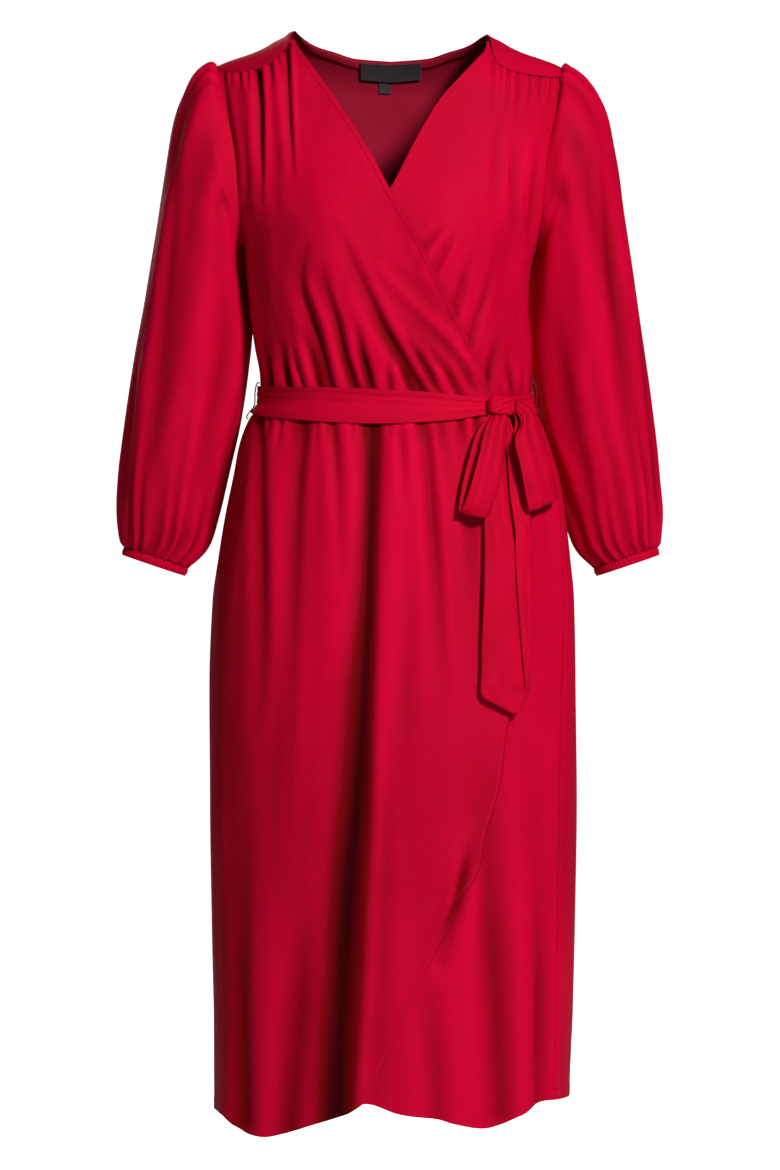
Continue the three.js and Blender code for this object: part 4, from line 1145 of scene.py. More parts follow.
@dataclass
class Bodice:
    """Back with yoke, and the two surplice fronts."""

    figure: Figure
    wall: float = 1.1
    front_seed: int = 3
    back_seed: int = 11
    # Columns: cell round the form, cell down it, size.
    layers: Sequence[Row] = ((26, 60, 0.9), (9, 34, 0.35), (5.5, 40, 0.5))
    # Columns: drop, x.
    over_edge: Table = table([
        [-20, -110.6], [3, -99.5], [30, -81.4], [58, -61.8], [92, -39.5], [125, -19.8],
        [163, -0.2], [196, 19.5], [227, 36.7], [255, 49.4], [287, 65.7], [319, 82.5],
        [355, 98.4], [384, 110],
    ])
    under_edge: Table = table([
        [-20, 101.9], [-6, 103.4], [5, 100.8], [15, 92.9], [35, 74.7], [60, 52.9],
        [96, 30.9], [139, 9], [200, -22], [250, -45], [300, -68], [340, -86], [384, -105],
    ])
    back_neck: Table = table([
        [0, -3], [40, -5.7], [65, -11.6], [86, -15], [99, -19], [107, -24],
    ])
    neck_point: float = 104.0
    yoke_end: float = 109.5
    shoulder_end: float = 189.0
    seam_end: float = 188.0
    yoke_gap: float = 0.4
    shoulder_columns: int = 34

    def front_troughs(self) -> list[Trough]:
        """Return the folds of both fronts: waist gathers, drape folds, yoke gathers."""
        return troughs([
            # Waist of both fronts.
            ((55, 384, 31, 342, 4, 311), 3.8, 5.5, 1, 0, 0.2),
            ((38, 384, 16, 347, 0, 322, -12, 301, -24, 275, -36, 249, -58, 204), 6.2, 7.5, 1, 0.1, 0.3),
            ((22, 384, 15, 361, 13, 348), 3, 4), ((1, 384, -3, 360, -5, 341), 3.8, 4.5),
            ((-19, 384, -30, 340, -40, 298), 4.6, 5.5, 1, 0, 0.25),
            ((-34, 384, -49, 338, -58, 302, -68, 274, -76, 242), 5, 6.5, 1, 0, 0.25),
            ((-62, 384, -77, 321, -88, 288, -98, 254, -90, 208), 5.2, 7.5, 1, 0, 0.25),
            ((-76, 384, -86, 340, -98, 304), 4.2, 5.5), ((-90, 384, -100, 350, -108, 326), 3, 4.5),
            ((-108, 384, -114, 350, -120, 315), 4.4, 5.5), ((-129, 384, -132, 350, -136, 317), 4, 5),
            ((76, 384, 58, 352, 40, 330), 3, 5), ((90, 374, 62, 330, 20, 285), 2.2, 6, 0.6),
            ((-12.3, 247, 46.3, 306, 92.1, 354), -2, 6, 0.4, 0.4),
            # Right yoke and armhole.
            ((-175, 24, -174, 36, -172, 50), 1.3, 2.6), ((-165, 24, -164, 34, -163, 44), 1.2, 2.4),
            ((-156, 24, -155, 38, -153, 52), 1.6, 2.6, 1, 0.2), ((-149, 23, -148, 33, -147, 44), 1.1, 2.2),
            ((-144, 22, -141, 62, -140, 118, -140, 180), 6.4, 5, 0.9, 0, 0.3),
            ((-132, 17, -130, 30, -129, 44), 1.6, 2.6, 1, 0.2),
            ((-123, 9, -121, 20, -119, 36), 1.6, 2.6, 1, 0.2), ((-117, 3, -115, 14, -113, 26), 1.1, 2.2),
            ((-113, -2, -110, 68, -108, 110, -105, 153), 4.6, 4.2, 1, 0, 0.3),
            ((-183, 24, -175, 80, -168, 125, -166, 160), 3, 4.5, 0.8, 0.2),
            ((-126, 60, -123, 120, -124, 190), 1.6, 6, 0), ((-160, 80, -156, 140, -158, 200), 1.8, 8, 0),
            # Left front.
            ((33, 223, 44, 211, 56, 198), 2.4, 5), ((46, 249, 58, 226, 71, 204), 2.8, 5, 1, 0, 0.2),
            ((84, 326, 95, 296, 104, 272, 113, 233), 3.2, 5.5, 0.8, 0, 0.2),
            ((66, 297, 76, 270, 82, 251, 92, 226), 3.2, 5.5, 1, 0, 0.2),
            ((104, 372, 110, 340, 122, 305), 2, 6), ((126, 340, 132, 362, 136, 384), 2.4, 5.5, 0, 1),
            ((144, 340, 143, 362, 141, 384), 1.8, 4.5, 0, 1),
            ((110, 16, 110, 30, 110, 52), 1.5, 2.6, 1, 0.2),
            ((118, 20, 118, 34, 117, 56), 1.4, 2.4, 1, 0.2),
            ((126, 25, 126, 45, 125, 72), 1.9, 2.8, 1, 0.2), ((132, 26, 132, 38, 132, 52), 1.1, 2.2),
            ((137, 27, 137, 48, 136, 78), 1.9, 2.8, 1, 0.2), ((144, 28, 144, 40, 144, 54), 1.2, 2.2),
            ((150, 29, 151, 44, 150, 62), 1.7, 2.8, 1, 0.2), ((156, 29, 157, 40, 157, 52), 1.1, 2.2),
            ((162, 29, 162, 43, 162, 60), 1.7, 2.8, 1, 0.2), ((168, 29, 168, 40, 168, 52), 1.1, 2.2),
            ((174, 29, 174, 42, 173, 58), 1.6, 2.8, 1, 0.2), ((181, 28, 181, 40, 180, 52), 1.2, 2.4),
            ((118, 70, 115, 130, 112, 200), 1.8, 7, 0), ((136, 78, 133, 150, 136, 215), 2, 7, 0),
            ((160, 90, 156, 160, 150, 214), 2.4, 6, 0, 0.4), ((125, 117, 125, 140, 125, 166), -1.2, 2.5, 0),
            ((141.7, 128, 141.7, 165, 141.7, 203), -1.2, 2.5, 0),
        ])

    def back_troughs(self) -> list[Trough]:
        """Return the folds of the back: waist gathers and soft drags from the armholes."""
        return troughs([
            # Waist.
            ((20, 384, 24, 352, 30, 316), 2.6, 5.5), ((-18, 384, -22, 350, -30, 300), 3, 6.5),
            ((34, 384, 38, 362, 43, 344), 1.8, 4.5), ((-32, 384, -37, 360, -42, 338), 1.8, 4.5),
            ((48, 384, 54, 345, 66, 296), 3, 6.5), ((-46, 384, -54, 350, -64, 318), 2.6, 5.5),
            ((62, 384, 68, 360, 75, 338), 1.9, 4.5), ((-60, 384, -67, 358, -74, 334), 1.9, 4.5),
            ((76, 384, 86, 340, 98, 280), 3.2, 6.5), ((-74, 384, -84, 335, -100, 274), 3.4, 6.5),
            ((102, 384, 112, 350, 120, 314), 2.8, 5.5), ((-100, 384, -110, 352, -120, 322), 2.8, 5.5),
            ((124, 384, 130, 356, 134, 330), 2.2, 5), ((-124, 384, -130, 356, -134, 334), 2.2, 5),
            ((2, 384, 3, 360, 2, 338), 2, 5),
            # Drags from the armholes.
            ((150, 190, 118, 210, 84, 222), 2.6, 9, 0.6), ((-150, 186, -120, 204, -92, 214), 2.6, 9, 0.6),
            ((140, 90, 132, 150, 134, 210), 2, 9, 0), ((-142, 90, -134, 152, -136, 214), 2, 9, 0),
            ((40, 120, 52, 190, 50, 260), 1.5, 12, 0), ((-46, 110, -56, 180, -52, 250), 1.5, 12, 0),
        ])

    def fine(self, points: Array, seed: int) -> Array:
        """Return the small ripples, crowded at the waist."""
        near = ease(60, 25, np.abs(-points[..., 2] - WAIST_DROP))
        return ripples(self.figure, points, seed, self.layers, near)

    def fronts(self) -> tuple[ClothGrid, Array, ClothGrid, Array]:
        """Return the over and the under front with their fold heights and painted shade for the finish."""
        folds = FoldSet(self.figure, self.front_troughs(), False)
        made = []
        for side, edge, neck in ((Side.RIGHT, self.over_edge, -12.0), (Side.LEFT, self.under_edge, -7.0)):
            panel = FrontPanel(self.figure, side, edge, (24.0, WAIST_TOP), (neck, WAIST_TOP),
                               top_curve=lambda x: self.figure.yoke_drop(x) + self.yoke_gap,
                               columns=140, rows=150)
            base = panel.grid()
            height = folds.height(base.points) + self.fine(base.points, self.front_seed)
            height = held_in(self.figure, base.points, height)
            from_yoke = base.down_columns()
            height *= mix(0.7, 1.0, ease(0.5, 3.0, from_yoke))
            height *= 1.0 + 0.3 * ease(60.0, 25.0, from_yoke)
            height -= 0.6 * bell(from_yoke, 1.3)
            length = base.across_rows()
            distance = length[:, -1:] - length if side is Side.RIGHT else length
            height *= mix(0.3, 1.0, ease(1.0, 16.0, distance))
            hem = turned_hem(distance)
            drop = -base.points[..., 2]
            # Painted shade at the waist, a dark line painted along the wrap edge, and painted shade under the
            # yoke seam.
            shade = gathered_shade(height, drop, 100.0) - 3.0 * np.exp(-(distance**2))
            shade -= 1.2 * bell(from_yoke, 5.0)
            if side is Side.RIGHT:
                free = ease(150, 190, drop) * (1 - ease(345, 368, drop))
                made += [base.moved(height + hem + 2.2 * free * np.exp(-distance / 12)), shade]
            else:
                inset = under_inset(self.figure, self.over_edge, base.points)
                made += [base.moved(height + hem * 0.8 - inset), shade]
        return tuple(made)

    def turn_of(self, rise: Array, back: bool) -> Array:
        """Return the turn over the shoulder of a rise below the ridge.

        Args:
            rise: distances below the ridge.
            back: whether they lie behind it.

        Returns:
            Angles, below 0 in front.
        """
        height = self.figure.back_roundover if back else self.figure.front_roundover
        inner = np.arccos(np.clip(1 - rise / height, -1, 1))
        turn = np.where(rise < height, inner, math.pi / 2 + rise / height - 1)
        return turn if back else -turn

    def rise_of(self, turn: Array) -> Array:
        """Return the rise below the ridge of a turn over the shoulder.

        Args:
            turn: angles, below 0 in front.

        Returns:
            Distances below the ridge.
        """
        height = np.where(turn > 0, self.figure.back_roundover, self.figure.front_roundover)
        size = np.abs(turn)
        extra = size - math.pi / 2
        return np.where(extra < 0, height * (1 - np.cos(size)), height * (1 + extra))

    def top_turn(self, x: Array) -> Array:
        """Return the turn of the back's top edge: yoke seam, neck side, back neckline.

        Args:
            x: places across.

        Returns:
            The angle over the shoulder at each place.
        """
        def on_yoke(across: Array) -> Array:
            """Return the turn of the yoke seam."""
            rise = self.figure.yoke_drop(across) - self.figure.ridge_drop(across)
            return self.turn_of(rise, False)

        size = np.abs(x)
        side = np.where(x < 0, -1.0, 1.0)
        beside = on_yoke(side * self.yoke_end) * (size - self.neck_point)
        rise = self.back_neck(size) - self.figure.ridge_drop(x)
        fade = np.clip(1 - (size / self.neck_point) ** 8, 0, 1)
        behind = self.turn_of(np.maximum(rise, 0) * fade, True)
        inner = np.where(size >= self.neck_point, beside / (self.yoke_end - self.neck_point), behind)
        return np.where(size >= self.yoke_end, on_yoke(x), inner)

    def back(self) -> tuple[ClothGrid, Array]:
        """Return the back from the yoke seams over the shoulders to the waist."""
        half = np.concatenate([
            np.linspace(self.shoulder_end, self.yoke_end, self.shoulder_columns, endpoint=False),
            np.linspace(self.yoke_end, self.neck_point, 8, endpoint=False),
            np.linspace(self.neck_point, 90, 8, endpoint=False), np.linspace(90, 0, 34),
        ])
        start = np.concatenate([half, -half[-2::-1]])[None, :]
        figure = self.figure
        edge_x = np.array([self.seam_end])
        edge_top = self.turn_of(figure.yoke_drop(edge_x) - figure.ridge_drop(edge_x), False)[0]
        share = spaced(118, 0.09, 0.0, 40)[:, None]
        top = self.top_turn(start)
        x, drop = start + 0.0 * share, np.zeros((len(share), start.shape[1]))
        for _ in range(10):
            bottom = self.turn_of(WAIST_TOP - figure.ridge_drop(x), True)
            turn = mix(edge_top, bottom, share) + (top - edge_top) * (1 - share) ** 5
            drop = np.minimum(figure.ridge_drop(x) + self.rise_of(turn), WAIST_TOP)
            centre = figure.rings(drop, 0)
            right = np.abs(figure.side_edge(Side.RIGHT, True, drop) - centre)
            left = np.abs(figure.side_edge(Side.LEFT, True, drop) - centre)
            width = np.where(start < 0, right, left)
            x = centre * ease(20, 120, drop) + start / self.shoulder_end * width
        base = ClothGrid(figure.skin(x, drop, turn > 0))
        folds = FoldSet(figure, self.back_troughs(), True)
        height = folds.height(base.points) + self.fine(base.points, self.back_seed)
        height = held_in(figure, base.points, height)
        height *= ease(0.9, 1.8, turn)
        height -= 0.5 * bell(base.down_columns(), 1.4)
        return base.moved(height), height

    def dress(self, dressing: Dressing) -> dict[str, ClothGrid]:
        """Args:
            dressing: shared hand-over.

        Returns:
            The grids by name, for what is sewn to them.
        """
        over, over_height, under, under_height = self.fronts()
        back, back_height = self.back()
        crepe, thread = dressing.wardrobe.crepe, dressing.wardrobe.thread
        plan = [
            ("front_over", over, over_height, ["back_bodice", "belt_band"]),
            ("front_under", under, under_height, ["back_bodice", "belt_band"]),
            ("back_bodice", back, back_height, ["front_over", "front_under"]),
        ]
        for name, grid, height, rests in plan:
            piece = cloth_mesh("cloth_" + name, grid, self.wall, height)
            dressing.cloth(piece, [name], "crepe", crepe, grid, Hold.HUNG, rests)
        lift = self.wall / 2 + STITCH_LIFT
        beside_seam = back.moved(lift).points[2]
        lines = [over.line_beside(True, EDGE_TURN, lift), under.line_beside(False, EDGE_TURN, lift),
                 beside_seam[:self.shoulder_columns], beside_seam[-self.shoulder_columns:]]
        sewn = dressing.stitches.sew("stitches_bodice", lines)
        dressing.trim(sewn, thread)
        return {"front_over": over, "front_under": under, "back_bodice": back}


@dataclass
class Skirt:
    """Gathered skirt back, and the over and the under skirt front."""

    figure: Figure
    wall: float = 1.1
    front_seed: int = 21
    back_seed: int = 31
    edge_seed: int = 27
    # Columns: cell round the form, cell down it, size.
    layers: Sequence[Row] = ((24, 170, 1.1), (10, 120, 0.35), (4.5, 60, 0.6))
    # Columns: drop, x.
    over_edge: Table = table([
        [384, 113], [427, 122], [560, 127], [695, 129], [744, 121.7], [795, 115.5],
        [856, 98.7], [880, 94.8], [899, 86.6], [917, 74.3], [939, 67.1], [971, 49.5],
        [985, 41.6], [1134, -28.3],
    ])
    under_edge: Table = table([[384, -105], [600, -122], [1140, -134]])
    # x where the painted shadow beside the long fold ends towards +x.
    long_fold_shadow: Table = table([
        [384, -12], [472, -13], [556, -15], [641, -16], [726, -17], [811, -18], [896, -21],
        [980, -25], [1065, -31], [1130, -35], [1170, -36],
    ])
    # x of the painted shadow spot just inside the free edge.
    edge_shadow: Table = table([
        [850, 88], [880, 83], [905, 77], [935, 66], [985, 44],
    ])
    # Columns: x, drop.
    over_hem: Table = table([
        [-200, 1155], [-182, 1158], [-170, 1167], [-152, 1174], [-136, 1175], [-118, 1171],
        [-84, 1159], [-48, 1147], [-28, 1134],
    ])
    under_hem: Table = table([
        [-140, 1136], [-28, 1136], [9, 1147], [50, 1153], [67, 1158], [100, 1164],
        [120, 1161], [141, 1152], [157, 1143], [170, 1140], [200, 1142],
    ])
    back_hem: Table = table([
        [-200, 1155], [-150, 1149], [-60, 1145], [0, 1148], [70, 1144], [140, 1147], [200, 1142],
    ])

    def front_troughs(self) -> list[Trough]:
        """Return the gathers below the belt and the long folds that fall from them."""
        long = troughs([
            ((-14, 384, -18, 449, -24, 556, -28, 641, -33, 726, -38, 811, -46, 896, -52, 980, -57, 1065,
             -60, 1150), 5.4, 14, 0.8, 1, 0.2),
            ((-88, 384, -92, 410, -100, 470, -105, 600, -112, 900), 4.6, 8.5, 0.6, 0, 0.2),
            ((-62, 384, -62, 410, -57, 492, -53, 600), 4, 6.5, 0.7),
            ((9, 384, 9, 411, 11, 454, 12, 500), 3.6, 5, 0.8),
            ((36, 384, 37, 411, 41, 471, 47, 556, 52, 642, 56, 720), 4.2, 7, 0.7, 0, 0.2),
            ((52, 384, 52, 411, 56, 471), 3, 5, 0.8), ((73, 384, 74, 410, 79, 460), 3, 5, 0.8),
            ((90, 384, 91, 410, 95, 478), 2.8, 5.5, 0.8),
            ((-140, 384, -142, 448, -139, 642, -147, 771), 4.5, 8.5, 0.5),
            ((78, 470, 84, 520, 88, 620), 3.2, 8, 0),
            ((182.8, 486, 188.5, 599, 186, 708, 182, 924, 177, 1130), 1.2, 2.5, 1, 1),
        ])
        short = [
            (-129, -131, 428, 2.4, 4.2), (-117, -121, 438, 2.8, 4.6), (-104, -108, 436, 2.4, 4.2),
            (-77, -81, 444, 2.8, 4.4), (-44, -42, 442, 2.6, 4.4), (-30, -33, 430, 2.2, 4.0),
            (-3, 0, 438, 2.4, 4.2), (24, 26, 446, 2.4, 4.4), (108, 113, 460, 2.6, 4.8),
            (122, 134, 470, 3.0, 5.4), (134, 152, 480, 3.0, 5.4), (143, 166, 500, 2.6, 5.4),
            (-70, -71, 424, 1.6, 3.2), (-52, -51, 424, 1.6, 3.2), (-22, -23, 426, 1.6, 3.4),
            (16, 17, 428, 1.6, 3.4), (30, 31, 428, 1.6, 3.4), (62, 64, 432, 1.8, 3.6),
            (-97, -99, 424, 1.6, 3.4), (-110, -113, 424, 1.5, 3.2), (44, 46, 430, 1.6, 3.4),
        ]
        low = troughs([
            ((82, 860, 75, 905, 66, 940, 50, 985), 6.5, 7, 0.1, 0.3, -0.2),
            ((100, 760, 110, 950, 122, 1150), 4.6, 17, 0, 1),
            ((-88, 900, -98, 1020, -110, 1170), 5, 15, 0, 1),
            ((160, 900, 162, 1020, 160, 1140), 4.5, 12, 0, 1),
            ((-160, 820, -162, 1000, -158, 1160), 3.6, 14, 0, 1),
            ((-4, 620, -8, 800, -14, 1000, -20, 1130), 2.2, 11, 0, 0.6),
            ((40, 1000, 46, 1080, 48, 1150), 3.4, 12, 0, 1),
            ((-120, 600, -126, 760, -128, 930), 2.2, 12, 0), ((20, 560, 14, 700, 10, 840), 2, 10, 0),
        ])
        gathers = fan(short, lambda row: (mix(row[0], row[1], 0.45), 408), 0.8)
        return long + gathers + low

    def back_troughs(self) -> list[Trough]:
        """Return the gathers of the back and its soft hem folds."""
        rows = [
            (-140, -158, 500, 2.8, 5), (-127, -142, 470, 2.6, 5), (-113, -130, 760, 4.2, 8.5),
            (-100, -110, 460, 2.6, 4.8), (-86, -94, 520, 3.2, 6), (-72, -80, 455, 2.6, 4.8),
            (-58, -66, 900, 5, 10), (-44, -48, 465, 2.8, 4.8), (-30, -34, 560, 3.4, 6),
            (-15, -17, 450, 2.6, 4.8), (0, 2, 640, 4, 8), (15, 18, 455, 2.6, 4.8),
            (29, 34, 520, 3.2, 5.6), (43, 50, 460, 2.6, 4.8), (57, 66, 980, 5.2, 11),
            (71, 79, 462, 2.8, 4.8), (85, 94, 540, 3.2, 6), (99, 110, 458, 2.6, 4.8),
            (112, 128, 720, 4, 8.5), (126, 142, 468, 2.6, 5), (139, 158, 510, 2.8, 5),
        ]
        made = fan(rows, lambda row: (mix(row[0], row[1], 0.3), mix(WAIST_DROP, row[2], 0.3)), 0.6)
        short = [(x, x * 1.07, 426, 1.5, 3.4) for x in (-133, -106, -79, -51, -22, 8, 36, 64, 92, 119)]
        between = fan(short, lambda row: (row[0] * 1.04, 404), 0.8)
        low = troughs([
            ((-118, 880, -126, 1010, -132, 1150), 5.5, 15, 0, 1),
            ((-10, 900, -4, 1020, 0, 1148), 5.5, 17, 0, 1),
            ((104, 860, 112, 1000, 120, 1146), 5.5, 15, 0, 1),
            ((-70, 760, -72, 950, -76, 1146), 3, 14, 0, 1), ((52, 700, 58, 920, 60, 1146), 3, 14, 0, 1),
            ((160, 860, 164, 1000, 166, 1144), 3.4, 12, 0, 1),
            ((-160, 860, -166, 1000, -168, 1150), 3.4, 12, 0, 1),
        ])
        return made + between + low

    def fine(self, points: Array, seed: int) -> Array:
        """Return the small ripples: upright on the skirt, crowded under the belt."""
        near = ease(90, 20, -points[..., 2] - WAIST_DROP)
        return ripples(self.figure, points, seed, self.layers, near)

    def shade(self, points: Array) -> Array:
        """Return painted shade: a painted shadow beside the long fold, painted shade towards the wearer's
        right side, and a painted shadow spot by the free edge.

        Args:
            points: points on the form.

        Returns:
            Depths in millimetres, 0 or less, for the finish alone.
        """
        x, drop = points[..., 0], -points[..., 2]
        beside = self.long_fold_shadow(drop) - x
        flat = 8.0 + mix(1.0, 24.0, ease(600, 1050, drop))
        fade = mix(6.0, 20.0, ease(560, 720, drop))
        fold = ease(-8.0, 10.0, beside) * np.exp(-((np.maximum(beside - flat, 0.0) / fade) ** 1.3))
        # Painted shade, darker towards the wearer's right side.
        side = 0.2 * ease(-45.0, -95.0, x) + 0.8 * ease(-118.0, -190.0, x)
        # Painted shadow spot just inside the free edge.
        spot = self.edge_shadow(drop) - x
        hollow = ease(-6.0, 5.0, spot) * bell(spot, 13.0)
        hollow = hollow * ease(850, 905, drop) * ease(985, 935, drop)
        return -mix(4.0, 11.0, ease(390, 460, drop)) * fold - 4.4 * side - 6.5 * hollow

    def fronts(self) -> tuple[ClothGrid, Array, ClothGrid, Array]:
        """Return the over and the under skirt front with their shading depths."""
        folds = FoldSet(self.figure, self.front_troughs(), False)
        over = FrontPanel(self.figure, Side.RIGHT, self.over_edge, (WAIST_BOTTOM, 1155.0),
                          (WAIST_BOTTOM, 1134.0), bottom_curve=self.over_hem,
                          columns=186, rows=156, edge_share=0.05, hem_share=0.018)
        under = FrontPanel(self.figure, Side.LEFT, self.under_edge, (WAIST_BOTTOM, 1142.0),
                           (WAIST_BOTTOM, 1136.0), bottom_curve=self.under_hem,
                           columns=154, rows=140, edge_share=0.04, hem_share=0.018)
        made = []
        for panel in (over, under):
            base = panel.grid()
            height = folds.height(base.points) + self.fine(base.points, self.front_seed)
            height = held_in(self.figure, base.points, height)
            down = base.down_columns()
            hem = turned_hem(down[-1:] - down, HEM_TURN, 0.4)
            across = base.across_rows()
            if panel is over:
                distance = across[:, -1:] - across
                height *= mix(0.4, 1.0, ease(1.0, 14.0, distance))
                edge = turned_hem(distance, EDGE_TURN, 0.4)
                drop = -base.points[..., 2]
                free = ease(690, 740, drop) * (1 - ease(955, 1000, drop))
                wavy = 1 + 0.5 * soft_noise(drop / 45 + 3, 0 * drop + 7, self.edge_seed)
                lift = 2.4 * free * wavy * bell(distance, 15)
                # Painted shade at the waist, the painted shadows of shade, and a dark line painted along the
                # free edge, darkest where the edge lifts.
                shade = gathered_shade(height, drop, 62.0) + self.shade(base.points)
                shade -= mix(1.2, 5.5, free) * bell(distance, 1.1)
                made += [base.moved(height + np.maximum(hem, edge) + lift), shade]
            else:
                inset = under_inset(self.figure, self.over_edge, base.points)
                shade = gathered_shade(height, -base.points[..., 2], 62.0)
                made += [base.moved(height * 0.95 + hem * 0.8 - inset), shade]
        return tuple(made)

    def back(self) -> tuple[ClothGrid, Array]:
        """Return the skirt back."""
        down = spaced(130, 0.0, 0.018)[:, None]
        across = np.linspace(1.0, -1.0, 196)[None, :]
        drop = mix(WAIST_BOTTOM, HEM_DROP, down) + 0.0 * across
        edge = self.figure.side_edge(Side.LEFT, True, drop[:, :1])
        angle = self.figure.angle_of(edge, drop[:, :1]) * across
        lift = (self.back_hem(self.figure.across_of(angle, drop)) - HEM_DROP) * ease(900, HEM_DROP, drop)
        drop = drop + lift
        base = ClothGrid(self.figure.skin(self.figure.across_of(angle, drop), drop, True))
        folds = FoldSet(self.figure, self.back_troughs(), True)
        height = folds.height(base.points) + self.fine(base.points, self.back_seed)
        height = held_in(self.figure, base.points, height)
        run = base.down_columns()
        return base.moved(height + turned_hem(run[-1:] - run, HEM_TURN, 0.4)), height

    def dress(self, dressing: Dressing) -> None:
        """Args:
            dressing: shared hand-over.
        """
        over, over_height, under, under_height = self.fronts()
        back, back_height = self.back()
        crepe = dressing.wardrobe.crepe
        plan = [
            (["skirt_over"], over, over_height),
            (["skirt_under"], under, under_height),
            (["skirt_back", "skirt_back_lower"], back, back_height),
        ]
        for nodes, grid, height in plan:
            piece = cloth_mesh("cloth_" + nodes[0], grid, self.wall, height)
            dressing.cloth(piece, nodes, "crepe", crepe, grid, Hold.GATHERED, ["belt_band"])
        lift = self.wall / 2 + STITCH_LIFT
        lines = [over.line_beside(True, EDGE_TURN, lift)]
        lines += [grid.line_above(True, HEM_TURN, lift) for grid in (over, under, back)]
        sewn = dressing.stitches.sew("stitches_skirt", lines)
        dressing.trim(sewn, dressing.wardrobe.thread)


@dataclass
class Sleeve:
    """A balloon sleeve on its armhole, with its elastic cuff."""

    figure: Figure
    side: Side
    wall: float = 1.1
    columns: int = 172
    steps: int = 10
    armhole_gap: float = 0.3
    underarm_gap: float = 0.7
    cuff_gap: float = 0.05
    cuff_height: float = 9.5
    cuff_wall: float = 1.6
    cuff_columns: int = 260
    cuff_rows: int = 11
    underarm_x: float = 161.5
    head_depth: float = 58.0
    gather_seed: int = 41
    size_seed: int = 47
    ripple_seed: int = 51
    cuff_seed: int = 61
    # Columns: inner x of the right and of the left sleeve, inner drop, outer x of the right
    # and of the left sleeve, outer drop, half depth.
    sections: Sequence[Row] = (
        (162.9, 160.6, 212, 203, 193, 11, 62), (162.9, 160, 214, 219, 214, 26, 66),
        (162.6, 159, 217, 233, 233, 56, 67), (162, 157.6, 222, 243, 243, 100, 66),
        (161.4, 155.4, 232, 252, 252, 150, 64), (158.9, 152.6, 250, 262, 262, 212, 61),
        (154.4, 152, 294, 274, 273, 282, 60), (158.5, 153.6, 346, 285.5, 282.5, 346, 60),
        (168, 162, 405, 293.5, 290.5, 408, 60), (181, 180, 460, 299.5, 296.5, 462, 58),
        (192, 192, 505, 300.5, 298.5, 505, 53), (204, 204, 540, 298, 297, 531, 45),
        (226, 226, 563.5, 294, 294, 540.5, 35),
    )
    # Columns: outer drop, right sleeve y, left sleeve y.
    swing: Table = table([
        [0, 2, 2], [150, 6, 8], [282, 12, 22], [408, 19, 42], [505, 21, 46], [560, 22, 46],
    ])

    def hollows(self) -> list[tuple[float, ...]]:
        """Return soft hollows: start and end row, angle, turn, depth, width in degrees."""
        right = [
            (0.5, 5, 60, -8, 3, 11), (1, 6, 8, 10, 3.5, 13), (5, 10.5, 20, 6, 4, 14),
            (6, 11, -38, 8, 3.5, 12), (7, 11.5, 66, -4, 3.5, 11), (3, 8, -62, -10, 4, 12),
            (2, 9, 150, 12, 4, 15), (6, 11, 200, 6, 3.5, 12), (0, 3, 84, -3, 2.4, 5),
            (0, 2.6, 70, -4, 2, 4.5), (0, 3, 98, 4, 2.4, 5), (0, 2.4, 112, 4, 2, 5),
            (4, 9, 42, -14, 2.2, 7), (1, 5, -30, 14, 2.4, 8), (2, 7, 100, 6, 2.6, 11),
            (7.5, 12, -8, 6, 2.4, 7), (8, 12, 100, 4, 2.6, 8), (8, 12, -70, 6, 2.4, 7),
            (8, 12, 160, -6, 2.4, 8), (3, 10, 232, -8, 2.4, 9),
        ]
        left = [
            (0.5, 4.5, 52, -10, 3, 11), (1, 7, 14, 8, 3.5, 13), (4, 10.5, 32, 8, 4, 14),
            (6.5, 11, -30, 6, 3.5, 12), (7, 11.5, 72, -6, 3.5, 11), (3, 7.5, -58, -8, 4, 12),
            (2, 8, 140, 10, 4, 15), (6, 11, 205, 8, 3.5, 12), (0, 3, 86, -3, 2.4, 5),
            (0, 2.6, 72, -4, 2.2, 4.5), (0, 3, 100, 4, 2.4, 5), (0, 2.2, 114, 4, 2, 5),
            (3.5, 8, 46, -16, 2.2, 7), (1, 5, -24, 12, 2.4, 8), (2, 7, 104, 6, 2.6, 11),
            (7.5, 12, 0, 6, 2.4, 7), (8, 12, 104, 4, 2.6, 8), (8, 12, -64, 6, 2.4, 7),
            (8, 12, 166, -6, 2.4, 8), (3, 10, 236, -8, 2.4, 9),
        ]
        return right if self.side is Side.RIGHT else left

    def ring(self, front: ClothGrid, back: ClothGrid) -> tuple[Array, Array]:
        """Return the armhole ring and the angle of each of its points.

        Args:
            front: the front panel on this side.
            back: the back.

        Returns:
            Points from the underarm up the front, over the ridge and down the back, and
            angles in degrees from -90.
        """
        sign = self.side.value
        edge = front.points[:, -1 if sign > 0 else 0]
        up = edge[edge[:, 2] > -UNDERARM_DROP][::-1]
        down = back.points[:, 0 if sign > 0 else -1]
        down = down[down[:, 2] > -UNDERARM_DROP]
        ridge = int(np.argmax(down[:, 2]))
        low = np.array([[sign * self.underarm_x, 0.0, -UNDERARM_DROP]])
        halves = [np.concatenate([low, up[:-1], down[:ridge + 1]]), np.concatenate([down[ridge:], low])]
        points, angles = [], []
        for start, half in zip((-90.0, 90.0), halves):
            step = np.linalg.norm(np.diff(half, axis=0), axis=1)
            run = np.concatenate([[0.0], np.cumsum(step)])
            count = self.columns // 2
            at = np.linspace(0.0, run[-1], count, endpoint=False)
            points.append(np.stack([np.interp(at, run, half[:, k]) for k in range(3)], -1))
            angles.append(start + 180.0 * at / run[-1])
        return np.concatenate(points), np.concatenate(angles)

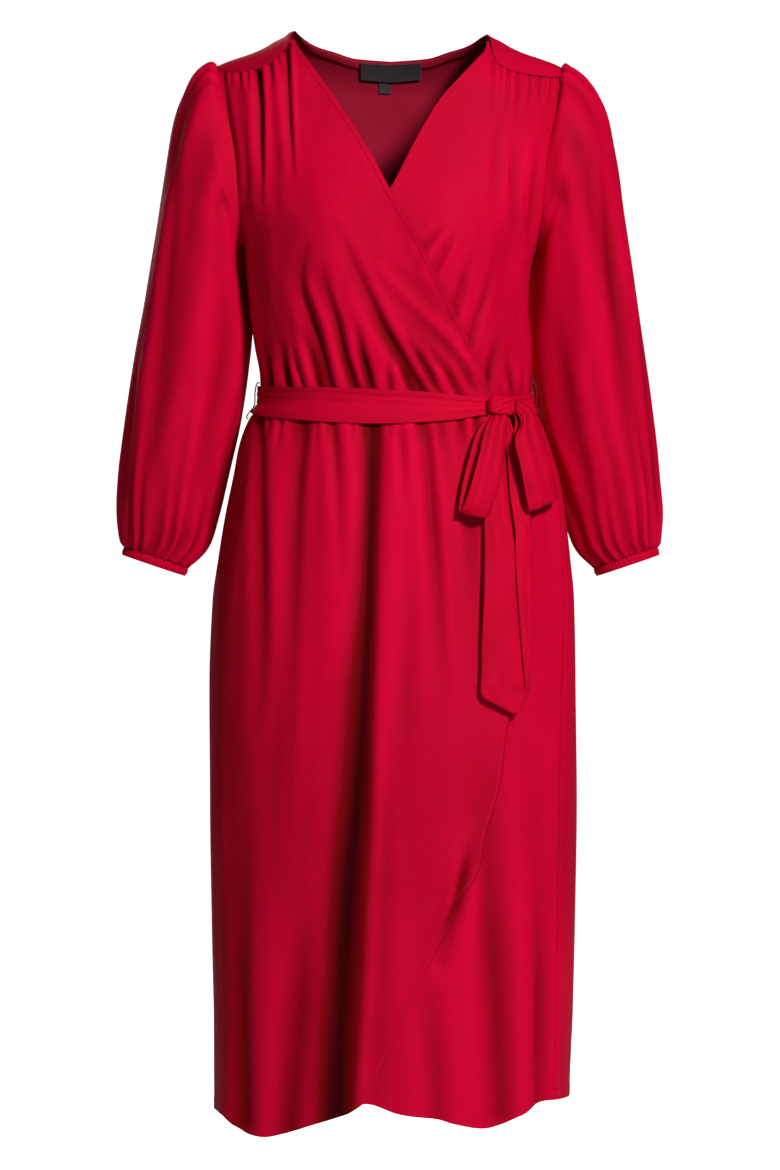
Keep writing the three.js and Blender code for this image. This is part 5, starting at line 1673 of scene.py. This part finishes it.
    def gathers(self, section: Array, angles: Array) -> Array:
        """Return the gathers above the cuff and at the sleeve head.

        Args:
            section: section number of each row, as a column.
            angles: angle of each column.

        Returns:
            Heights in millimetres.
        """
        turn = np.radians(angles)[None, :]
        uneven = soft_noise(angles[None, :] / 24 + 20, section * 0.0 + 3, self.gather_seed + self.side.value)
        wave = np.cos(17 * turn + 1.6 * uneven)
        sharp = np.sign(wave) * np.abs(wave) ** 0.8 - 0.25
        near = ease(8.6, 12.2, section + 0.9 * uneven) * (1 - 0.45 * ease(12.3, 13.0, section))
        small = np.cos(34 * turn + 2.2 * uneven) * 0.5 * ease(11.2, 12.8, section)
        size = 2.5 + 0.9 * soft_noise(angles[None, :] / 31 + 5, section * 0, self.size_seed + self.side.value)
        over = (ease(38, 62, angles) * (1 - ease(118, 142, angles)))[None, :]
        head = np.cos(30 * turn + 2.4 * uneven) * 1.5 * (1 - ease(1.0, 3.2, section))
        puff = 1.6 * bell(section - 0.55, 0.4)
        return sharp * size * near + small + over * (head + puff)

    def sized(self, section: Row) -> Row:
        """Return this side's inner x and drop, outer x and drop, and half depth of a section."""
        own = 0 if self.side is Side.RIGHT else 1
        return section[own], section[2], section[3 + own], section[5], section[6]

    def grids(self, front: ClothGrid, back: ClothGrid) -> tuple[ClothGrid, Array]:
        """Return the sleeve and its fold heights.

        Args:
            front: the front panel on this side.
            back: the back.

        Returns:
            The closed grid from the armhole to the cuff, and the fold heights.
        """
        sign = self.side.value
        ring, angles = self.ring(front, back)
        turn = np.radians(angles)
        reach = (np.sin(turn) + 1) / 2
        gap = mix(self.armhole_gap, self.underarm_gap, ease(150, 205, -ring[:, 2]))
        first = ring + np.stack([sign * gap, 0 * gap, 0 * gap], -1)
        top = len(ring) // 2
        rows = [first]
        for number, section in enumerate(self.sections):
            inner_x, inner_drop, outer_x, outer_drop, depth = self.sized(section)
            swing = float(self.swing(outer_drop, 0 if sign < 0 else 1))
            row = np.stack([sign * mix(inner_x, outer_x, reach), swing - depth * np.cos(turn),
                            -mix(inner_drop, outer_drop, reach)], -1)
            follow = max(0.0, 0.75 - 0.3 * number)
            plain = mix(first[0, 1], first[top, 1], reach) - self.head_depth * np.cos(turn)
            shift = first[:, 1] - plain
            row[:, 1] += shift * follow
            rows.append(row)
        dense = spline_rows(np.array(rows), self.steps)
        section = (np.arange(len(dense)) / self.steps)[:, None]
        if sign < 0:
            dense, angles = dense[:, ::-1], angles[::-1]
        height = self.gathers(section, angles)
        for start, end, angle, twist, depth, width in self.hollows():
            along = np.clip((section - start) / (end - start), 0, 1)
            away = np.abs((angles[None, :] - angle - twist * along + 540) % 360 - 180) / width
            height -= depth * np.sin(np.pi * along) * (
                np.exp(-(away**1.8)) - 0.35 * np.exp(-((away - 2) ** 2)))
        ripple = soft_noise(angles[None, :] / 14 + 30, section * 1.1 + 5, self.ripple_seed + sign)
        height += 0.8 * ripple * ease(0.2, 1.5, section)
        height *= ease(0.0, 0.35, section)
        return ClothGrid(dense, True).moved(height), height

    def cuff(self) -> ClothGrid:
        """Return the ruched elastic casing."""
        sign = self.side.value
        inner_x, inner_drop, outer_x, outer_drop, depth = self.sized(self.sections[-1])
        slope = math.atan2(inner_drop - outer_drop, outer_x - inner_x)
        swing = float(self.swing(outer_drop, 0 if sign < 0 else 1))
        turn = np.radians(-90 + 360 * np.arange(self.cuff_columns) / self.cuff_columns) * sign
        reach = (np.sin(turn) + 1) / 2
        share = np.linspace(0, 1, self.cuff_rows)[:, None]
        down = self.cuff_gap + self.cuff_height * share
        x = sign * (mix(inner_x, outer_x, reach) + down * math.sin(slope))
        y = swing - depth * np.cos(turn) + 0 * share
        z = -(mix(inner_drop, outer_drop, reach) + down * math.cos(slope))
        grid = ClothGrid(np.stack([x, y, z], -1), True)
        uneven = soft_noise(np.degrees(turn)[None, :] / 15 + 30, share, self.cuff_seed)
        ruche = 0.45 * np.cos(52 * turn + 1.5 * uneven) + 0.2 * uneven
        puff = 0.9 * np.sin(np.pi * share) - 0.5 * bell(share - 0.12, 0.05)
        return grid.moved(puff + ruche * (0.4 + 0.6 * np.sin(np.pi * share)))

    def dress(self, dressing: Dressing, panels: dict[str, ClothGrid]) -> None:
        """Args:
            dressing: shared hand-over.
            panels: the bodice grids that the armhole is sewn to.
        """
        name = self.side.name.lower()
        front = panels["front_over" if self.side is Side.RIGHT else "front_under"]
        grid, height = self.grids(front, panels["back_bodice"])
        piece = cloth_mesh("cloth_sleeve_" + name, grid, self.wall, height)
        nodes = [f"sleeve_{name}", f"sleeve_{name}_lower"]
        dressing.cloth(piece, nodes, "crepe", dressing.wardrobe.crepe, grid,
                       Hold.GATHERED, ["back_bodice", "cuff_" + name])
        band = self.cuff()
        cuff = cloth_mesh("cloth_cuff_" + name, band, self.cuff_wall)
        dressing.cloth(cuff, ["cuff_" + name], "crepe", dressing.wardrobe.crepe, band,
                       Hold.GATHERED, nodes[1:])
        lift = self.cuff_wall / 2 + STITCH_LIFT
        sewn = dressing.stitches.sew("stitches_cuff_" + name, [band.line_above(False, 1.4, lift)])
        dressing.trim(sewn, dressing.wardrobe.thread)


@dataclass
class TieBelt:
    """The self tie belt: band, knot, two loops, two tails and the thread carriers."""

    figure: Figure
    offset: float = 3.4
    wall: float = 1.1
    tie_wall: float = 1.5
    knot_place: tuple[float, float] = (109.5, 390.0)
    knot_size: tuple[float, float, float] = (12.0, 10.4, 7.6)
    knot_out: float = 12.8
    knot_slant: float = 0.05
    knot_rings: int = 52
    knot_turns: int = 84
    pole: float = 0.0001
    band_columns: int = 260
    band_rows: int = 30
    tie_columns: int = 26
    tie_steps: int = 9
    tie_seed: int = 81
    band_seed: int = 71
    carrier_angle: float = 84.0
    # Columns: share down the band, depth, width.
    band_folds: Sequence[Row] = ((0.24, 0.9, 0.06), (0.47, 1.1, 0.07), (0.72, 0.8, 0.06))
    # Columns: angle round the waist, top drop, bottom drop.
    edges: Table = table([
        [-180, 364, 400], [-135, 364, 399], [-90, 364.5, 396], [-60, 368, 402], [-35, 370, 407],
        [-6, 373, 411], [20, 377, 407.5], [40, 381, 401], [55, 379, 402], [90, 371, 396],
        [135, 365, 399], [180, 364, 400],
    ])
    # Columns of the ties: left x, left drop, left out, right x, right drop, right out.
    loop_right: Sequence[Row] = (
        (98, 401, 17.5, 114, 401, 18.5), (90, 418, 22, 111, 418, 23), (84, 443, 25.5, 107.5, 445, 26.5),
        (77, 473, 25.5, 103.5, 475, 26), (71.5, 496, 22, 98, 499, 22), (68.6, 504.5, 17, 95.6, 511, 17),
        (68, 501, 13.5, 94.6, 508, 13.5), (71, 480, 12.5, 94, 486, 12.5),
        (77.5, 450, 12.5, 98.5, 450, 12.5), (85, 422, 12.5, 103, 422, 12.5),
        (97, 401, 12, 110, 401, 12),
    )
    loop_left: Sequence[Row] = (
        (122, 395, 17, 122, 383.5, 17), (125, 408, 21, 133, 390, 21), (118, 428, 24.5, 141, 411, 24.5),
        (122.5, 452, 25.5, 149.5, 440, 25), (128.5, 480, 24, 158, 470, 23),
        (133.5, 499, 20.5, 164.5, 486, 19), (137, 503.5, 15.5, 168.5, 489, 14.5),
        (134.5, 490, 11.5, 166, 476, 11), (128.5, 458, 10.5, 156, 446, 10),
        (124, 428, 10.5, 143, 413, 10), (126, 408, 11, 137, 392, 10.5), (122, 395, 12, 122, 384, 12),
    )
    tail_front: Sequence[Row] = (
        (100, 401.5, 9, 112, 401.5, 9), (97, 430, 8.5, 116, 430, 9), (95, 470, 8.5, 119, 470, 10),
        (95.5, 505, 8.5, 121, 503, 10.5), (96, 540, 9, 126, 545, 11), (95, 590, 9.5, 131, 590, 11),
        (93, 640, 9, 137, 640, 10.5), (92.5, 675, 9, 141, 670, 10.5), (92.5, 700, 9, 141, 694, 10.5),
        (108, 711, 9.5, 135, 710, 10.5), (124, 720, 10, 129, 720.5, 10),
    )
    tail_rear: Sequence[Row] = (
        (114.5, 401.5, 7.6, 122, 401.5, 7.6), (119, 425, 5.5, 131, 425, 6.5),
        (122, 450, 5.5, 138, 450, 7), (123.6, 485, 6.5, 142, 485, 7), (125, 505, 8.5, 143, 505, 8.5),
        (125.4, 525, 12.4, 144, 525, 11), (125.6, 550, 13, 144, 550, 11.5),
        (127.5, 590, 13.3, 144, 590, 11.8), (131, 640, 13.4, 142.5, 640, 12.8),
        (133.5, 670, 13.6, 140.5, 668, 13.4), (135.5, 692, 13.6, 138, 686, 13.4),
    )

    def band(self) -> tuple[ClothGrid, Array]:
        """Return the belt round the waist with soft lengthwise folds, and its fold heights with painted
        shade.
        """
        degrees = np.linspace(-180, 180, self.band_columns, endpoint=False)[None, :]
        share = np.linspace(0, 1, self.band_rows)[:, None]
        drop = mix(self.edges(degrees, 0), self.edges(degrees, 1), share)
        turn = np.radians(degrees) + 0 * share
        base = ClothGrid(
            self.figure.skin(self.figure.across_of(turn, drop), drop, np.cos(turn) < 0), True)
        wander = 0.12 * soft_noise(degrees / 38 + 20, share * 0, self.band_seed)
        folds = 0.0
        for place, depth, width in self.band_folds:
            strength = 0.6 + 0.6 * soft_noise(degrees / 46 + 9, share * 0 + place * 30, self.band_seed + 2)
            folds -= depth * strength * np.exp(-(((share - place - wander) / width) ** 2))
        folds = folds * (1 + 1.5 * bell(degrees - 46, 14))
        drag = 0.5 * soft_noise(degrees / 12 + 20, share * 5, self.band_seed + 4)
        swell = 0.9 * np.sin(np.pi * share)
        height = folds + swell + drag * np.sin(np.pi * share)
        # Painted shade: the folds read deeper than they are, and the belt is darker towards the wearer's
        # right side.
        far = ease(-20.0, -62.0, degrees) * ease(-120.0, -90.0, degrees)
        return base.moved(self.offset + height), height * 2.2 - 4.6 * far

    def tie(self, table: Sequence[Row], pleats: float, both_ends: bool,
            seed: int) -> tuple[ClothGrid, Array]:
        """Return a tie between two edges.

        Args:
            table: edges from the knot to the tip, or back to the knot.
            pleats: depth of the pleats that run out of the knot.
            both_ends: whether both ends are held in the knot.
            seed: number that fixes the small creases.

        Returns:
            The grid and its fold heights.
        """
        rows = spline_rows(np.array(table), self.tie_steps)
        u = np.linspace(0, 1, self.tie_columns)[None, :]
        x, drop, out = (mix(rows[:, k:k + 1], rows[:, k + 3:k + 4], u) for k in range(3))
        grid = ClothGrid(self.figure.out_from(x, drop, out))
        along = np.linspace(0, 1, len(rows))[:, None]
        held = np.exp(-along / 0.28)
        if both_ends:
            held = held + np.exp(-(1 - along) / 0.2)
        fold = -pleats * held * (0.5 - 0.5 * np.cos(2 * np.pi * (2.5 * u + 0.12)))
        crease = soft_noise(u * 4 + 10, along * 16, seed) * 0.7
        edge = -0.5 * bell(np.minimum(u, 1 - u), 0.035)
        height = fold + crease + edge
        return grid.moved(height + 1.2 * np.sin(np.pi * u)), height

    def knot(self) -> bpy.types.Object:
        """Return the knot: a wrapped block of cloth with slanting folds."""
        polar = np.linspace(self.pole, math.pi - self.pole, self.knot_rings)[:, None]
        turn = np.linspace(0, 2 * math.pi, self.knot_turns, endpoint=False)[None, :]

        def boxed(value: Array) -> Array:
            """Return the value pushed towards the sides of a box."""
            return np.sign(value) * np.abs(value) ** 0.6

        x, y, z = np.sin(polar) * np.cos(turn), -np.cos(polar) + 0 * turn, np.sin(polar) * np.sin(turn)
        wide, tall, deep = self.knot_size
        px = boxed(x) * wide
        drop = boxed(y) * tall + self.knot_slant * px
        fold = np.cos(drop * 0.5 + px * 0.24 + 0.8) ** 6
        cut = 1 - 0.28 * fold * np.clip(np.abs(z), 0, 1) ** 0.5
        out = boxed(z) * deep * cut
        cx, cdrop = self.knot_place
        points = self.figure.out_from(cx + px, cdrop + drop, self.knot_out + out)
        piece = ring_mesh("cloth_knot", points, True)
        mesh = piece.data
        corners = np.zeros(len(mesh.loops), np.int32)
        mesh.loops.foreach_get("vertex_index", corners)
        lay_plane(mesh, np.stack([px.ravel(), -drop.ravel()], -1) * MM, corners)
        # Painted shade in the knot's slanting folds, lighter elsewhere.
        keep_number(mesh, "fold", (-2.5 * fold + 1).ravel())
        mesh.attributes.new("inside", "FLOAT", "POINT")
        return piece

    def carrier(self, side: Side) -> Array:
        """Return a thread carrier that holds the belt at a side seam.

        Args:
            side: side of the wearer.

        Returns:
            Rings of points along the carrier.
        """
        rows = spline_rows(np.array([[361, 1.4], [363, 4.9], [372, 6.9], [382, 7.0], [392, 6.8],
                                     [399, 5.0], [401, 1.6]]), 6)
        angle = math.radians(side.value * self.carrier_angle)
        base = self.figure.skin(self.figure.across_of(angle, rows[:, 0]), rows[:, 0], False)
        base = base + np.stack([side.value * rows[:, 1], 0 * rows[:, 1], 0 * rows[:, 1]], -1)
        tangent = unit(np.gradient(base, axis=0))
        across = np.array([0.0, 1.0, 0.0])
        out = unit(np.cross(tangent, across))
        turn = np.linspace(0, 2 * math.pi, 10, endpoint=False)[None, :, None]
        braid = 0.75 * (1 + 0.18 * np.sin(np.arange(len(base)) * 1.9))[:, None, None]
        return base[:, None] + braid * (np.cos(turn) * across + np.sin(turn) * out[:, None])

    def dress(self, dressing: Dressing) -> None:
        """Args:
            dressing: shared hand-over.
        """
        tie = dressing.wardrobe.tie
        band, height = self.band()
        knot = self.knot()
        dressing.trim(knot, tie, "belt_knot")
        piece = cloth_mesh("cloth_belt_band", band, self.wall, height)
        dressing.cloth(piece, ["belt_band"], "tie_crepe", tie, band, Hold.FOLDED,
                       ["front_over", "back_bodice"], [knot])
        plan = [
            ("bow_loop_right", self.loop_right, 2.4, True),
            ("bow_loop_left", self.loop_left, 2.6, True),
            ("tie_tail_front", self.tail_front, 2.6, False),
            ("tie_tail_rear", self.tail_rear, 1.6, False),
        ]
        for number, (name, table, pleats, both) in enumerate(plan):
            grid, fold = self.tie(table, pleats, both, self.tie_seed + number)
            # Painted shade: the tie's folds read deeper than they are, and the ties are painted lighter
            # throughout, a painted highlight.
            made = cloth_mesh("cloth_" + name, grid, self.tie_wall, fold * 1.5 + 0.8)
            dressing.cloth(made, [name], "tie_crepe", tie, grid, Hold.FOLDED, ["belt_knot"])
        for side in Side:
            name = "carrier_" + side.name.lower()
            loop = ring_mesh("thread_" + name, self.carrier(side), False)
            dressing.trim(loop, dressing.wardrobe.thread, name)


@dataclass
class NeckTrim:
    """Binding, bare label and its small tab, laid on the inside of the back neck."""

    binding_wall: float = 0.9
    label_wall: float = 0.7
    tab_wall: float = 0.5
    # Columns: left x, right x, first depth, last depth, rows, inset, columns.
    binding: Row = (-99.0, 99.0, 0.5, 12.3, 14, 1.55, 130)
    label: Row = (-35.0, 33.0, 2, 27, 26, 3.1, 60)
    tab: Row = (-14.5, -1.0, 21, 42, 16, 1.6, 14)
    roll: float = 0.45
    seam: float = 1.2

    def laid(self, back: ClothGrid, size: Row) -> ClothGrid:
        """Lay a piece on the inside of the back.

        Args:
            back: the back's grid.
            size: ends at the neckline, depths below it, rows, inset and columns.

        Returns:
            The grid, its columns falling with x as the back's do.
        """
        left, right, first, last, rows, inset, count = size
        depths = np.linspace(first, last, rows)
        run = back.down_columns()
        inside = back.moved(-inset).points
        neckline = back.points[0, :, 0]
        columns = []
        for x in np.linspace(right, left, count):
            place = np.interp(-x, -neckline, np.arange(len(neckline)))
            low = min(int(place), len(neckline) - 2)
            share = place - low
            strips = []
            for column in (low, low + 1):
                strips.append(np.stack([
                    np.interp(depths, run[:, column], inside[:, column, k]) for k in range(3)], -1))
            columns.append(mix(strips[0], strips[1], share))
        return ClothGrid(np.stack(columns, axis=1))

    def dress(self, dressing: Dressing, back: ClothGrid) -> None:
        """Args:
            dressing: shared hand-over.
            back: the back's grid.
        """
        tape, woven = dressing.wardrobe.tape, dressing.wardrobe.label
        binding, label, tab = (self.laid(back, size) for size in (self.binding, self.label, self.tab))
        roll = self.roll * np.sin(np.pi * np.linspace(0, 1, len(binding.points)))[:, None]
        plan = [
            ("neck_binding", binding.moved(-roll), binding, self.binding_wall, "back_neck_binding",
             "neck_tape", tape, Hold.STRETCHED, "back_bodice"),
            ("neck_label", label, label, self.label_wall, "neck_label", "label_cloth", woven, Hold.HUNG,
             "back_bodice"),
            ("size_tab", tab, tab, self.tab_wall, "size_tab", "label_cloth", woven, Hold.HUNG,
             "neck_label"),
        ]
        for name, shape, cut, wall, node, slot, material, hold, rests in plan:
            piece = cloth_mesh("cloth_" + name, shape, wall)
            dressing.cloth(piece, [node], slot, material, cut, hold, [rests])
        inner, seam = -(self.label_wall / 2 + 0.08), self.seam
        lines = [label.line_above(False, seam, inner), label.line_beside(False, seam, inner),
                 label.line_beside(True, seam, inner), binding.line_above(True, seam, inner - 0.6)]
        fine = StitchMaker(dressing.stitches.material, 2.2, 1.5, 0.14)
        sewn = fine.sew("stitches_neck", lines)
        dressing.trim(sewn, dressing.wardrobe.thread)


@dataclass
class Studio:
    """Pale floor, a far drum of the same paper, soft lights, and the camera."""

    floor_drop: float = 1.42
    far: float = 7.2
    half_width: float = 1.9
    eye: Place = (-0.00165, -4.0, -0.583)
    focal: float = 111.9
    film_height: float = 36.0
    clip_end: float = 60.0
    sky_strength: float = 0.035
    # Columns: name, place, aim, size, watts.
    lamps: Sequence[tuple[str, Place, Place, float, float]] = (
        ("key", (1.5, -2.9, 1.25), (0.0, 0.0, -0.45), 0.45, 136.0),
        ("fill", (-3.4, -0.7, -0.4), (0.0, 0.0, -0.6), 1.2, 12.0),
        ("back", (-1.3, 3.4, 0.9), (0.0, 0.0, -0.6), 1.6, 55.0),
    )

    def paper(self, name: str, points: Array, material: bpy.types.Material) -> bpy.types.Object:
        """Lay a sheet of paper over a grid of points.

        Args:
            name: name of the sheet.
            points: grid of points in metres.
            material: its finish.

        Returns:
            The sheet.
        """
        cells = quads(grid_index(*points.shape[:2], False))
        mesh = bpy.data.meshes.new(name)
        mesh.from_pydata(points.reshape(-1, 3).tolist(), [], cells.tolist())
        for polygon in mesh.polygons:
            polygon.use_smooth = True
        mesh.materials.append(material)
        sheet = placed(name, mesh)
        return sheet

    def backdrop(self, wardrobe: Wardrobe) -> None:
        """Lay a floor that only throws light back, and a drum of paper that only shows.

        Args:
            wardrobe: the finishes.
        """
        y = np.array([-7.0, 3.0])
        floor = np.stack(np.meshgrid(y, [-self.half_width, self.half_width], indexing="ij"), -1)
        floor = np.concatenate([floor[..., ::-1], np.full((2, 2, 1), -self.floor_drop)], -1)
        self.paper("studio_floor", floor, wardrobe.paper).visible_camera = False
        turn = np.linspace(0.0, 2.0 * math.pi, 97)[None, :]
        radius = np.array([0.0005, self.far - 1.0, self.far - 0.3, self.far, self.far])[:, None]
        height = np.array([0.0, 0.0, 0.3, 1.0, 7.0])[:, None] - self.floor_drop - 0.02
        drum = np.stack([radius * np.cos(turn), radius * np.sin(turn), height + 0.0 * turn], -1)
        ring = self.paper("studio_drum", drum, wardrobe.far_paper)
        ring.visible_diffuse = ring.visible_glossy = ring.visible_shadow = False

    def light(self, name: str, place: Place, aim: Place, size: float, power: float) -> None:
        """Hang a soft light.

        Args:
            name: its name.
            place: where it hangs.
            aim: where it points.
            size: side of its square.
            power: its strength in watts.
        """
        lamp = bpy.data.lights.new(name, "AREA")
        lamp.shape, lamp.size, lamp.energy = "SQUARE", size, power
        thing = placed(name, lamp)
        thing.location = place
        thing.rotation_euler = (Vector(aim) - Vector(place)).to_track_quat("-Z", "Y").to_euler()

    def build(self, wardrobe: Wardrobe) -> None:
        """Set up floor, drum, lights and camera.

        Args:
            wardrobe: the finishes.
        """
        self.backdrop(wardrobe)
        for lamp in self.lamps:
            self.light(*lamp)
        world = bpy.data.worlds.new("studio")
        world.use_nodes = True
        sky = world.node_tree.nodes["Background"]
        sky.inputs["Color"].default_value = (1.0, 1.0, 1.0, 1.0)
        sky.inputs["Strength"].default_value = self.sky_strength
        scene = bpy.context.scene
        scene.world = world
        scene.view_settings.view_transform = "Standard"
        lens = bpy.data.cameras.new("camera")
        lens.sensor_fit, lens.sensor_height, lens.lens = "VERTICAL", self.film_height, self.focal
        lens.clip_end = self.clip_end
        camera = placed("camera", lens)
        camera.location = self.eye
        camera.rotation_euler = (math.pi / 2, 0.0, 0.0)
        scene.camera = camera


def main() -> None:
    """Build the dress around the frame, one sub-assembly after another."""
    logging.basicConfig(level=logging.INFO, format="%(message)s")
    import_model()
    wardrobe = Wardrobe()
    Studio().build(wardrobe)
    dressing = Dressing(wardrobe, StitchMaker(wardrobe.thread))
    figure = Figure()
    panels = Bodice(figure).dress(dressing)
    Skirt(figure).dress(dressing)
    for side in Side:
        Sleeve(figure, side).dress(dressing, panels)
    TieBelt(figure).dress(dressing)
    NeckTrim().dress(dressing, panels["back_bodice"])


if __name__ == "__main__":
    main()
